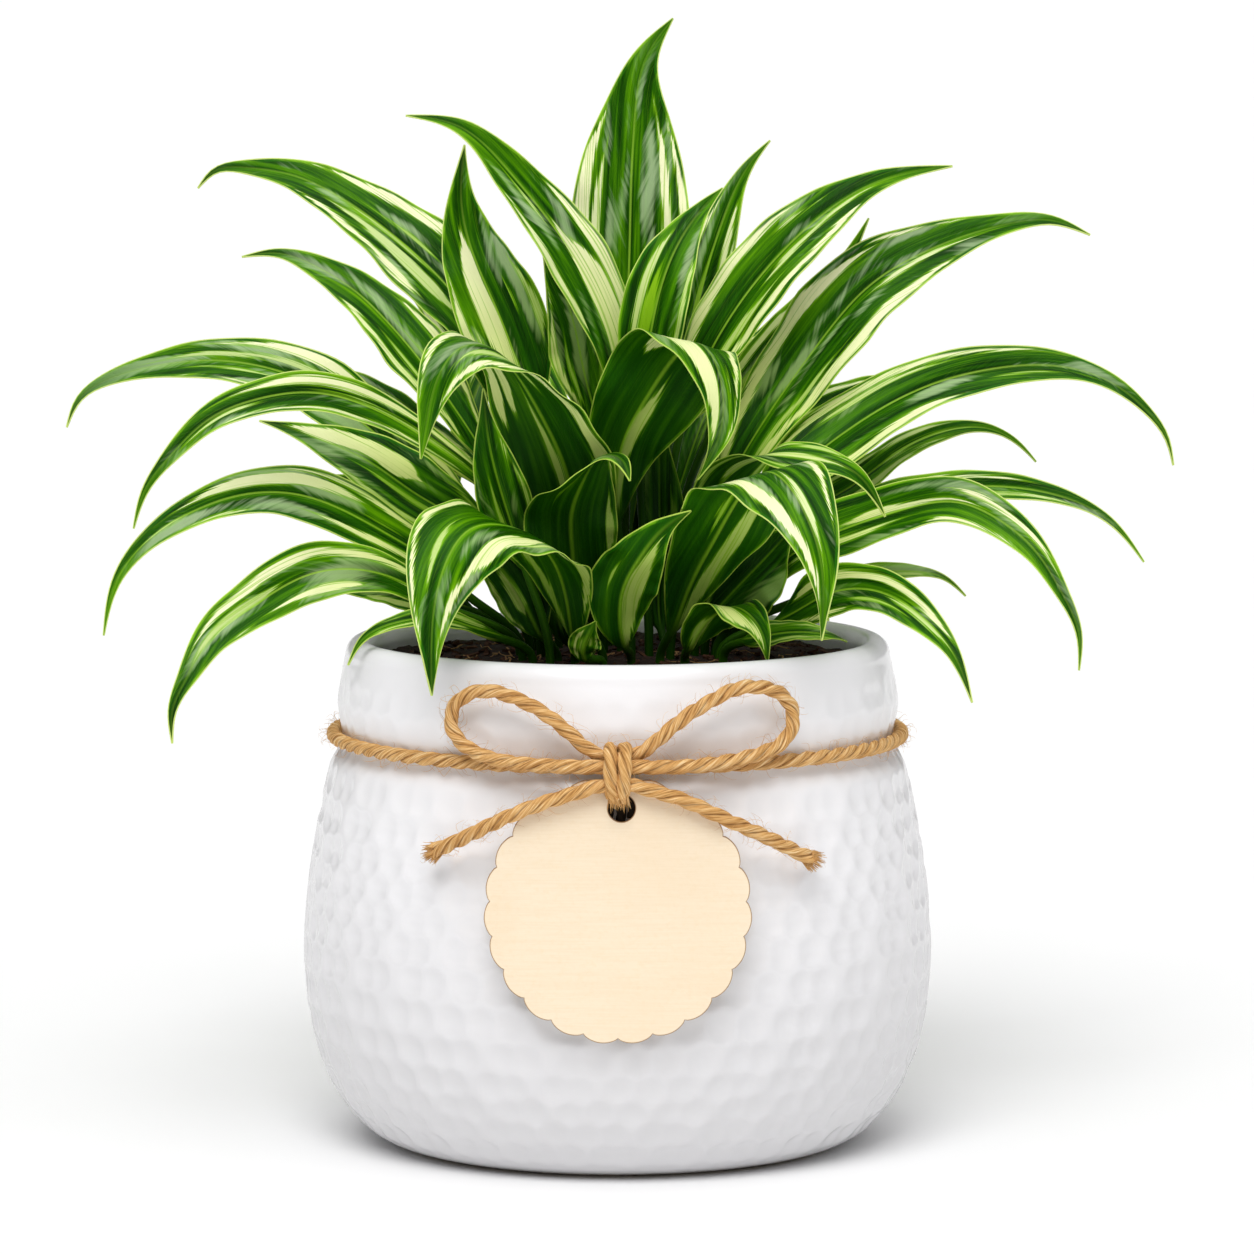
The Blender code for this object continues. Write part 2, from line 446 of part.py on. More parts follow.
def build_knot(material):
    """The knot, with the strand that runs down through the tag's hole and up behind the tag."""
    count = len(KNOT_SIDE)
    points = [(x, y, z) for x in (-KNOT_HALF_WIDTH, KNOT_HALF_WIDTH) for y, z in KNOT_SIDE]
    faces = [(i, (i + 1) % count, count + (i + 1) % count, count + i) for i in range(count)]
    faces += [tuple(reversed(range(count))), tuple(range(count, 2 * count))]
    knot = add_mesh("twine_knot", points, faces, material)
    strand_points, _, _ = spline_points(TIE, TIE_POINTS)
    strand = build_tube("twine_tie", strand_points, TIE_RADIUS, material)
    strand_mesh = bpy.data.meshes.new_from_object(strand.evaluated_get(bpy.context.evaluated_depsgraph_get()))
    solid_strand = bpy.data.objects.new("twine_tie_solid", strand_mesh)
    bpy.context.collection.objects.link(solid_strand)
    bpy.data.objects.remove(strand, do_unlink=True)
    apply_union(knot, solid_strand)
    return knot


def apply_union(body, addition):
    """Joins the addition to the body as one solid, and removes the addition."""
    join = body.modifiers.new("join", "BOOLEAN")
    join.operation = "UNION"
    join.object = addition
    join.solver = "EXACT"
    joined = bpy.data.meshes.new_from_object(body.evaluated_get(bpy.context.evaluated_depsgraph_get()))
    body.modifiers.clear()
    body.data = joined
    bpy.data.objects.remove(addition, do_unlink=True)


def tag_outline():
    """The scalloped edge: equal bulges that meet in sharp notches."""
    outline = []
    for scallop in range(TAG_SCALLOPS):
        for step in range(TAG_POINTS_EACH):
            share = step / TAG_POINTS_EACH
            angle = -math.pi / 2 + 2 * math.pi * (scallop + share) / TAG_SCALLOPS
            radius = TAG_RADIUS - TAG_NOTCH * (1 - math.sin(math.pi * share) ** TAG_BULGE)
            outline.append((radius * math.cos(angle), radius * math.sin(angle)))
    return outline


def flat_prism(name, outline, thickness, material):
    """A plate in the XZ plane, centred on y = 0, from an outline that runs anticlockwise seen from -Y."""
    count = len(outline)
    points = [(x, y, z) for y in (-thickness / 2, thickness / 2) for x, z in outline]
    faces = [(i, count + i, count + (i + 1) % count, (i + 1) % count) for i in range(count)]
    faces += [tuple(range(count)), tuple(reversed(range(count, 2 * count)))]
    return add_mesh(name, points, faces, material)


def build_tag(material):
    """The disc with its punched hole, leaning back at the top."""
    tag = flat_prism("tag", tag_outline(), TAG_THICKNESS, material)
    hole = [(TAG_HOLE_ASIDE + x, TAG_HOLE_UP + z) for x, z, _ in ring_points(TAG_HOLE_RADIUS, TAG_HOLE_SIDES, 0)]
    punch = flat_prism("tag_punch", hole, 2 * TAG_THICKNESS, material)
    punch.hide_render = True
    punch.display_type = "WIRE"
    punch.parent = tag
    cut = tag.modifiers.new("hole", "BOOLEAN")
    cut.operation = "DIFFERENCE"
    cut.object = punch
    cut.solver = "EXACT"
    tag.location = tuple(MM * value for value in TAG_CENTRE)
    tag.rotation_euler = (-TAG_LEAN, 0, 0)
    return tag


def blade_shape(share, widest, fullness):
    """Width of a blade as a share of its widest, at a share of its length from its start to its tip."""
    if share < widest:
        return math.sin(0.5 * math.pi * share / widest)
    drawn_out = 1 - TIP_DRAW * smoothstep(share, TIP_DRAWN_FROM, 1)
    return (1 - ((share - widest) / (1 - widest)) ** fullness) * drawn_out


def unit(vector):
    return vector / np.linalg.norm(vector)


def build_leaf(name, width, widest, fullness, foot, facing_start, facing_tip, route, material):
    """One leaf: a stalk that stands in the soil, and a folded blade along the midrib's route."""
    foot_height = SOIL_LEVEL + STALK_STRAIGHT
    midrib, along, lengths = spline_points([(*foot, foot_height)] + route, None, start_slope=(0, 0, 1))
    neck = lengths[1]
    stalk = np.linspace(0, neck, STALK_STEPS + 1)
    blade = neck + (along[-1] - neck) * np.array(BLADE_STATIONS)
    columns = 5 if width >= BROAD_BLADE else 3
    bends_over = np.dot(facing_start, facing_tip) < 0
    fold = BLADE_ROLL if bends_over else BLADE_FOLD
    across = np.linspace(-1, 1, columns)

    rings = []
    places = [(0.0, np.array((*foot, SOIL_LEVEL - STALK_BURIED)))]
    places += [(length, np.array([np.interp(length, along, midrib[:, k]) for k in range(3)]))
               for length in np.concatenate([stalk, blade])]
    for length, place in places:
        share = max(0.0, (length - neck) / (along[-1] - neck))
        ahead = np.array([np.interp(length + SLOPE_REACH, along, midrib[:, k]) for k in range(3)])
        behind = np.array([np.interp(length - SLOPE_REACH, along, midrib[:, k]) for k in range(3)])
        tangent = np.array((0.0, 0.0, 1.0)) if length == 0 else unit(ahead - behind)
        turn = smoothstep(share, BLADE_TURN_FROM, BLADE_TURN_TO)
        facing = unit((1 - turn) * np.array(facing_start) + turn * np.array(facing_tip))
        side = unit(np.cross(tangent, facing))
        normal = np.cross(side, tangent)
        opened = smoothstep(share, 0, BLADE_OPEN_BY)
        root = STALK_HALF_WIDTH + (TIP_HALF_WIDTH - STALK_HALF_WIDTH) * smoothstep(share, 0, STALK_LOST_BY)
        half = root + 0.5 * width * blade_shape(share, widest, fullness)
        rib = STALK_THICKNESS + (BLADE_RIB_THICKNESS - STALK_THICKNESS) * opened
        rib += (BLADE_EDGE_THICKNESS - rib) * smoothstep(share, BLADE_THIN_FROM, 1)
        top, bottom = [], []
        for c in across:
            lift = opened * abs(c) * half * fold * (1 - FOLD_EASING * abs(c))
            lift += opened * abs(c) * half * BLADE_WAVE * math.sin(2 * math.pi * BLADE_WAVES * share + c)
            thickness = BLADE_EDGE_THICKNESS + (rib - BLADE_EDGE_THICKNESS) * (1 - abs(c)) ** (1 + opened)
            middle = place + c * half * side + lift * normal
            top.append(middle + 0.5 * thickness * normal)
            bottom.append(middle - 0.5 * thickness * normal)
        rings.append(top + bottom)
    points = [point for ring in rings for point in ring]
    return add_mesh(f"leaf_{name}", points, loft_faces(len(rings), columns), material,
                    LEAF_SHARP_ANGLE)


def loft_faces(ring_count, columns):
    """Triangles between rings whose first points are the upper face and whose last are the lower one.

    Both faces are split along the same diagonals, so that they stay the same distance apart.
    """
    faces = []
    size = 2 * columns

    def split(a, b, c, d):
        faces.extend([(a, b, c), (a, c, d)])

    for ring in range(ring_count - 1):
        low, high = ring * size, (ring + 1) * size
        for i in range(columns - 1):
            split(low + i, low + i + 1, high + i + 1, high + i)
            under = columns + i
            faces.extend([(low + under, high + under + 1, low + under + 1),
                          (low + under, high + under, high + under + 1)])
        split(low, high, high + columns, low + columns)
        right, under = columns - 1, 2 * columns - 1
        split(low + right, low + under, high + under, high + right)
    for ring, forward in ((0, False), (ring_count - 1, True)):
        start = ring * size
        for i in range(columns - 1):
            corners = (start + i, start + i + 1, start + columns + i + 1, start + columns + i)
            if not forward:
                corners = tuple(reversed(corners))
            split(*corners)
    return faces


def main():
    clear_scene()
    glaze = make_material("white glaze", (0.86, 0.86, 0.87), 0.2)
    earth = make_material("potting soil", (0.035, 0.02, 0.012), 0.95)
    jute = make_material("jute twine", (0.55, 0.33, 0.14), 0.85)
    wood = make_material("pale wood tag", (0.93, 0.80, 0.62), 0.7)
    leaf = make_material("striped leaf", (0.07, 0.22, 0.02), 0.35)

    build_pot(glaze)
    build_soil(earth, [row[4] for row in LEAVES])
    build_band(jute)
    build_knot(jute)
    build_free_twine("twine_loop_left", LOOP_LEFT, True, jute)
    build_free_twine("twine_loop_right", LOOP_RIGHT, True, jute)
    build_free_twine("twine_tail_left", TAIL_LEFT, False, jute)
    build_free_twine("twine_tail_right", TAIL_RIGHT, False, jute)
    build_tag(wood)
    for row in LEAVES:
        build_leaf(*row, leaf)


main()
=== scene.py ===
"""Looks of the potted peace lily: striped leaves, dimpled white glaze, jute bow and blank wooden tag.

Sizes in the tables are millimetres in the part's own frame, with X to the right, Y to the back and Z up.
MM turns them into metres.
"""
import math
import random

import bpy
import numpy as np
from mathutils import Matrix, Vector, noise
from mathutils.geometry import tessellate_polygon


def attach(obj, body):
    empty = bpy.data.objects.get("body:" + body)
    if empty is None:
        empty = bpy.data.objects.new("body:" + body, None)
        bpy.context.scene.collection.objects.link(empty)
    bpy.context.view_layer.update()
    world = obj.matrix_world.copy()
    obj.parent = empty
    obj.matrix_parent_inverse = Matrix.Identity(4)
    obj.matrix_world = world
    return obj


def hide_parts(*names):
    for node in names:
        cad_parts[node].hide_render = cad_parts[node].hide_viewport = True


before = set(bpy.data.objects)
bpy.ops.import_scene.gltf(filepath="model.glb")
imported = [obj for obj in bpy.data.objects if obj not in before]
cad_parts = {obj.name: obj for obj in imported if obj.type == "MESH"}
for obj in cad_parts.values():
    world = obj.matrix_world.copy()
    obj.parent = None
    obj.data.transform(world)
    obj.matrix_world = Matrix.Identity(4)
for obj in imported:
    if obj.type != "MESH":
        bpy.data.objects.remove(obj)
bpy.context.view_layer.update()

MM = 0.001
BODY = "root"
SPLINE_STEPS = 24
ATTRIBUTE_KINDS = {1: ("FLOAT", "value"), 3: ("FLOAT_VECTOR", "vector"), 4: ("FLOAT_COLOR", "color")}

# Camera, at the photograph's place, in metres.
CAMERA_PLACE = (0.0027, -1.9, 0.35)
CAMERA_DOWN = math.radians(6.06)
CAMERA_LENS = 191
CAMERA_SENSOR = 36
CAMERA_CLIP = (0.05, 60)

# Studio. Each light: name, azimuth, elevation and width in degrees, and strength.
LIGHTS = [("key", -9, 50, 34, 1.63), ("fill", 32, 42, 55, 0.25), ("top", 0, 84, 64, 1.08)]
WORLD_STRENGTH = 0.28
FLOOR_WHITENESS = 0.95
FLOOR_REACH = 70.0

# Pot: the part's own profile, with the pressed cells at their real size.
POT_SIDES = 448
POT_ROW_STEP = 1.15
POT_BELLY = [(60, 0), (69, 2.6), (77, 9.2), (83.6, 19.5), (88, 33), (90.4, 54), (89.6, 71), (87, 89.5),
             (84.4, 103), (82, 111)]
POT_NECK_RADIUS = 79.2
POT_COLLAR = [(79.9, 114.6), (POT_NECK_RADIUS, 118), (79.9, 121.4), (80.6, 126), (79.7, 134), (78.2, 140.6)]
POT_LIP_CENTRE = (74.1, 140.6)
POT_LIP_WIDTH = 4.1
POT_LIP_HEIGHT = 5.0
POT_LIP_STEPS = 18
POT_INNER = [(70.4, 133), (77.2, 104), (82.4, 66), (79.5, 30), (60, 8)]
POT_INNER_ROWS = 18
POT_SHARP_ANGLE = math.radians(60)
CELLS_AROUND = 58
CELL_ROW_STEP = 8.6
CELL_NEIGHBOURS = (-1, 0, 1, 2)
CELL_JITTER = 0.2
CELL_CURVE_RADIUS = 12.0
CELL_SOFTNESS = 0.28
CELL_DEPTH = 1.0
COLLAR_CELL_SHARE = 0.42

# Heights between which the cells grow in at the foot, weaken to the collar and end at the lip.
CELLS_AT_FOOT = (2, 9)
CELLS_AT_COLLAR = (97, 117)
CELLS_AT_LIP = (132, 139)

# Soil.
SOIL_LEVEL = 139.0
SOIL_MOUND = 1.6
SOIL_MOUND_TOP = 10
SOIL_MOUND_FOOT = 66
SOIL_EDGE_RADIUS = 69.5
SOIL_FLOOR = 120.0
SOIL_RING_COUNT = 64
SOIL_SIDES = 200
SOIL_ROUGHNESS = 1.5
SOIL_GRAIN_SCALE = 0.16
SOIL_GRAIN_SHARE = 0.7
SOIL_LUMP_SCALE = 0.06
SOIL_LUMP_SHARE = 0.5
SOIL_SHARP_ANGLE = math.radians(40)
CHIP_COUNT = 420
CHIPS_WITHIN = 0.96
CHIP_SIZES = ((1.2, 4.2), (0.8, 2.0), (0.4, 1.1))
CHIP_CORNER_SHARES = (0.6, 1.15)
CHIP_TILT = 0.5
CHIP_TURN = 6.3
CHIP_LIFT = 0.3
BOX_FACES = [(0, 1, 3, 2), (4, 6, 7, 5), (0, 4, 5, 1), (2, 3, 7, 6), (0, 2, 6, 4), (1, 5, 7, 3)]
ROOT_COUNT = 70
ROOTS_WITHIN = 0.9
ROOT_EDGE_GAP = 1
ROOT_POINTS = 7
ROOT_POINTS_LEAST = 4
ROOT_STEP = 1.6
ROOT_BEND = 0.6
ROOT_LIFT = (0.1, 0.6)
ROOT_RADII = (0.12, 0.28)
ROOT_SIDES = 5

# Twine.
TWINE_RADIUS = 2.1
TWINE_LAY = 19.0
TWINE_STEP = 0.6
STRANDS = 3
STRAND_SIDES = 12
STRAND_RADIUS_SHARE = 0.58
STRAND_OFFSET_SHARE = 0.42
STRAND_SWELL = 0.03
STRAND_SWELL_RATE = 1.7
STRAND_STREAK_SHIFT = 5
CUT_END_FLARE = 0.32
FLARE_LENGTH = 7
BAND_HEIGHT = 118.0
BAND_STEP = 0.8
BAND_END_ASIDE = 2.0
GAP = 0.3
TIE_RADIUS = 1.5
TIE_LAY = 13
# Painted shade: the strands behind the tag's hole are coloured near-black, as if in deep shadow, so that the
# hole looks dark.
TIE_PAINTED_SHADE_SCALE = 0.3

# Loose fibres along the twine, and the frayed fibres at its cut ends.
FIBRE_SIDES = 3
FIBRE_TIP_SHARE = 0.35
FIBRE_TINTS = (-3, 3)
FUZZ_PER_MM = 2.0
BAND_FUZZ_PER_MM = 1.8
KNOT_FUZZ_PER_MM = 1.2
FUZZ_FROM = 0.8
FUZZ_STEPS = 6
FUZZ_BEND = 0.28
FUZZ_LENGTHS = (2.0, 8.0)
FUZZ_RADII = (0.035, 0.07)
FUZZ_REACH = 4.4
FUZZ_CLEARANCE = 0.1
FRAY_COUNT = 170
TIE_FRAY_COUNT = 40
FRAY_SPREAD = 1.15
FRAY_FROM = 0.85
FRAY_BACK = 2.0
FRAY_SPLAY = 0.32
FRAY_CURL = 0.1
FRAY_STEPS = 3
FRAY_LENGTHS = (2.6, 4.4)
FRAY_RADII = (0.12, 0.2)

# Routes of the twine: the bow's loops and tails, the knot's two turns, and the strands that hold the tag.
LOOP_LEFT = [(-1.5, -86.6, 121.7), (-4.2, -86.6, 121.9), (-6.8, -86.6, 123.0), (-13, -86.2, 128),
             (-21, -84.6, 134), (-29, -81.5, 137.6), (-36, -77.8, 138.8), (-42, -74.4, 137),
             (-45.4, -72.2, 133.2), (-46, -71.8, 129.5), (-44.6, -73, 125.6), (-41, -75.8, 122.6),
             (-35, -79.8, 120.4), (-24.5, -85.4, 119.4), (-13, -89.2, 119.2), (-6.4, -90.4, 119.3),
             (-1.5, -90.4, 119.3)]
LOOP_RIGHT = [(1.5, -86.6, 121.7), (4.2, -86.6, 121.9), (6.8, -86.6, 123.0), (12, -86.3, 127),
              (19.5, -85, 133), (26.5, -82.6, 137), (33.5, -79.4, 139.8), (39, -76.6, 139.8),
              (44.6, -73, 137.8), (48.3, -70.6, 133), (48.4, -70.5, 128), (46.2, -72.2, 124.4),
              (40.4, -76.2, 121.6), (32, -81.4, 120), (22, -86.4, 119.2), (12, -89.4, 119.1),
              (6.4, -90.4, 119.3), (1.5, -90.4, 119.3)]
TAIL_LEFT = [(-1.5, -92.2, 114.6), (-4.2, -92.4, 114.4), (-10, -92.6, 112.8), (-16, -92.6, 111),
             (-22, -92.6, 109), (-28, -92.2, 106.6), (-34, -90, 103.6), (-40, -86.4, 100.2), (-45.5, -82, 97),
             (-51, -77, 94)]
TAIL_RIGHT = [(1.5, -92.2, 114.6), (4.2, -92.4, 114.4), (10, -92.6, 112.9), (16, -92.6, 111.2),
              (22, -92.6, 108.8), (28, -92.4, 106), (34, -90.2, 103), (40.5, -86.2, 99.6), (47, -81, 95.8),
              (54, -74.6, 91.4)]
KNOT_TURNS = [
    [(-1.7, -84.0, 116.0), (-1.8, -84.4, 121.0), (-1.9, -87.0, 123.6), (-1.9, -90.4, 123.8),
     (-1.9, -93.4, 121.6), (-1.8, -94.4, 118.0), (-1.6, -93.8, 114.4), (-1.2, -92.2, 111.6)],
    [(1.7, -84.0, 116.0), (1.9, -84.4, 121.0), (2.0, -87.0, 123.8), (2.1, -90.4, 124.0), (2.1, -93.4, 121.8),
     (2.0, -94.4, 118.0), (1.8, -93.8, 114.4), (1.4, -92.2, 111.6)],
]
TIE_ENDS = [
    [(-1.6, -93.2, 116.0), (-1.6, -93.2, 113.4), (-1.2, -92.8, 111.4), (-0.8, -92.3, 109.8)],
    [(1.9, -93.2, 116.0), (1.9, -93.2, 113.4), (1.7, -92.8, 111.4), (1.5, -92.3, 109.8)],
]
TIE_BEHIND = [
    [(-2.4, -86.2, 104.6), (-2.2, -86.0, 108.0), (-1.6, -85.4, 112.0), (-0.8, -84.9, 117.0)],
    [(1.0, -86.4, 103.6), (1.0, -86.1, 108.0), (0.8, -85.5, 112.0), (0.3, -84.9, 117.0)],
    [(4.2, -86.2, 104.6), (4.0, -86.0, 108.0), (3.0, -85.4, 112.0), (1.6, -84.9, 117.0)],
]

# Tag.
TAG_RADIUS = 36.9
TAG_SCALLOPS = 23
TAG_NOTCH = 1.5
TAG_BULGE_POWER = 0.7
TAG_POINTS_EACH = 14
TAG_THICKNESS = 2.2
TAG_CENTRE = (0.2, -90.6, 79.7)
TAG_LEAN = math.radians(4)
TAG_HOLE_RADIUS = 3.8
TAG_HOLE_UP = 28.1
TAG_HOLE_ASIDE = 1.0
TAG_HOLE_SIDES = 56
TAG_EASED = 0.12
TAG_BROWNED = 0.5
TAG_SHARP_ANGLE = math.radians(35)

# Leaves.
STALK_HALF_WIDTH = 1.25
STALK_THICKNESS = 2.5
STALK_SIDE_THICKNESS = 0.02
STALK_BURIED = 5.0
STALK_STRAIGHT = 1.5
STALK_RINGS = 10
BLADE_RINGS = 64
SLOPE_REACH = 0.6
BLADE_EDGE_THICKNESS = 0.5
BLADE_EDGE_THINNING = 0.55
BLADE_RIB_THICKNESS = 1.5
RIB_HALF_WIDTH = 0.9
CHANNEL_DEPTH = 0.28
TIP_DRAW = 0.42
TIP_DRAWN_FROM = 0.6
BLADE_FOLD = 0.34
BLADE_ROLL = -0.15
FOLD_EASING = 0.35
BLADE_WAVE = 0.1
BLADE_WAVES = 2.5
RIPPLE = 0.045
RIPPLES = 7.0
RIPPLE_SHIFT_EACH = 2.1
RIPPLE_SHIFT_ASIDE = 1.6
BLADE_OPEN_BY = 0.22
BLADE_TURN_FROM = 0.15
BLADE_TURN_TO = 0.85
BLADE_THIN_FROM = 0.2
STALK_LOST_BY = 0.35
TIP_HALF_WIDTH = 0.3
ACROSS_HALF = (0.04, 0.1, 0.2, 0.33, 0.48, 0.63, 0.78, 0.91, 1.0)
LEAF_SHARP_ANGLE = math.radians(50)
VEIN_SLANT = 2.4
CROWN_CENTRE = (0.0, 0.01, 0.16)

# Ways that the upper faces of many leaves look.
TO_RIGHT = (0.5, -0.8, 0.3)
TO_LEFT = (-0.5, -0.8, 0.3)
UP_RIGHT = (0.5, -0.8, 0.4)
UP_LEFT = (-0.5, -0.8, 0.4)
TO_FRONT = (0, -1, 0.1)
UP_FRONT = (0, -0.9, 0.5)
HIGH_FRONT = (0, -0.6, 0.8)

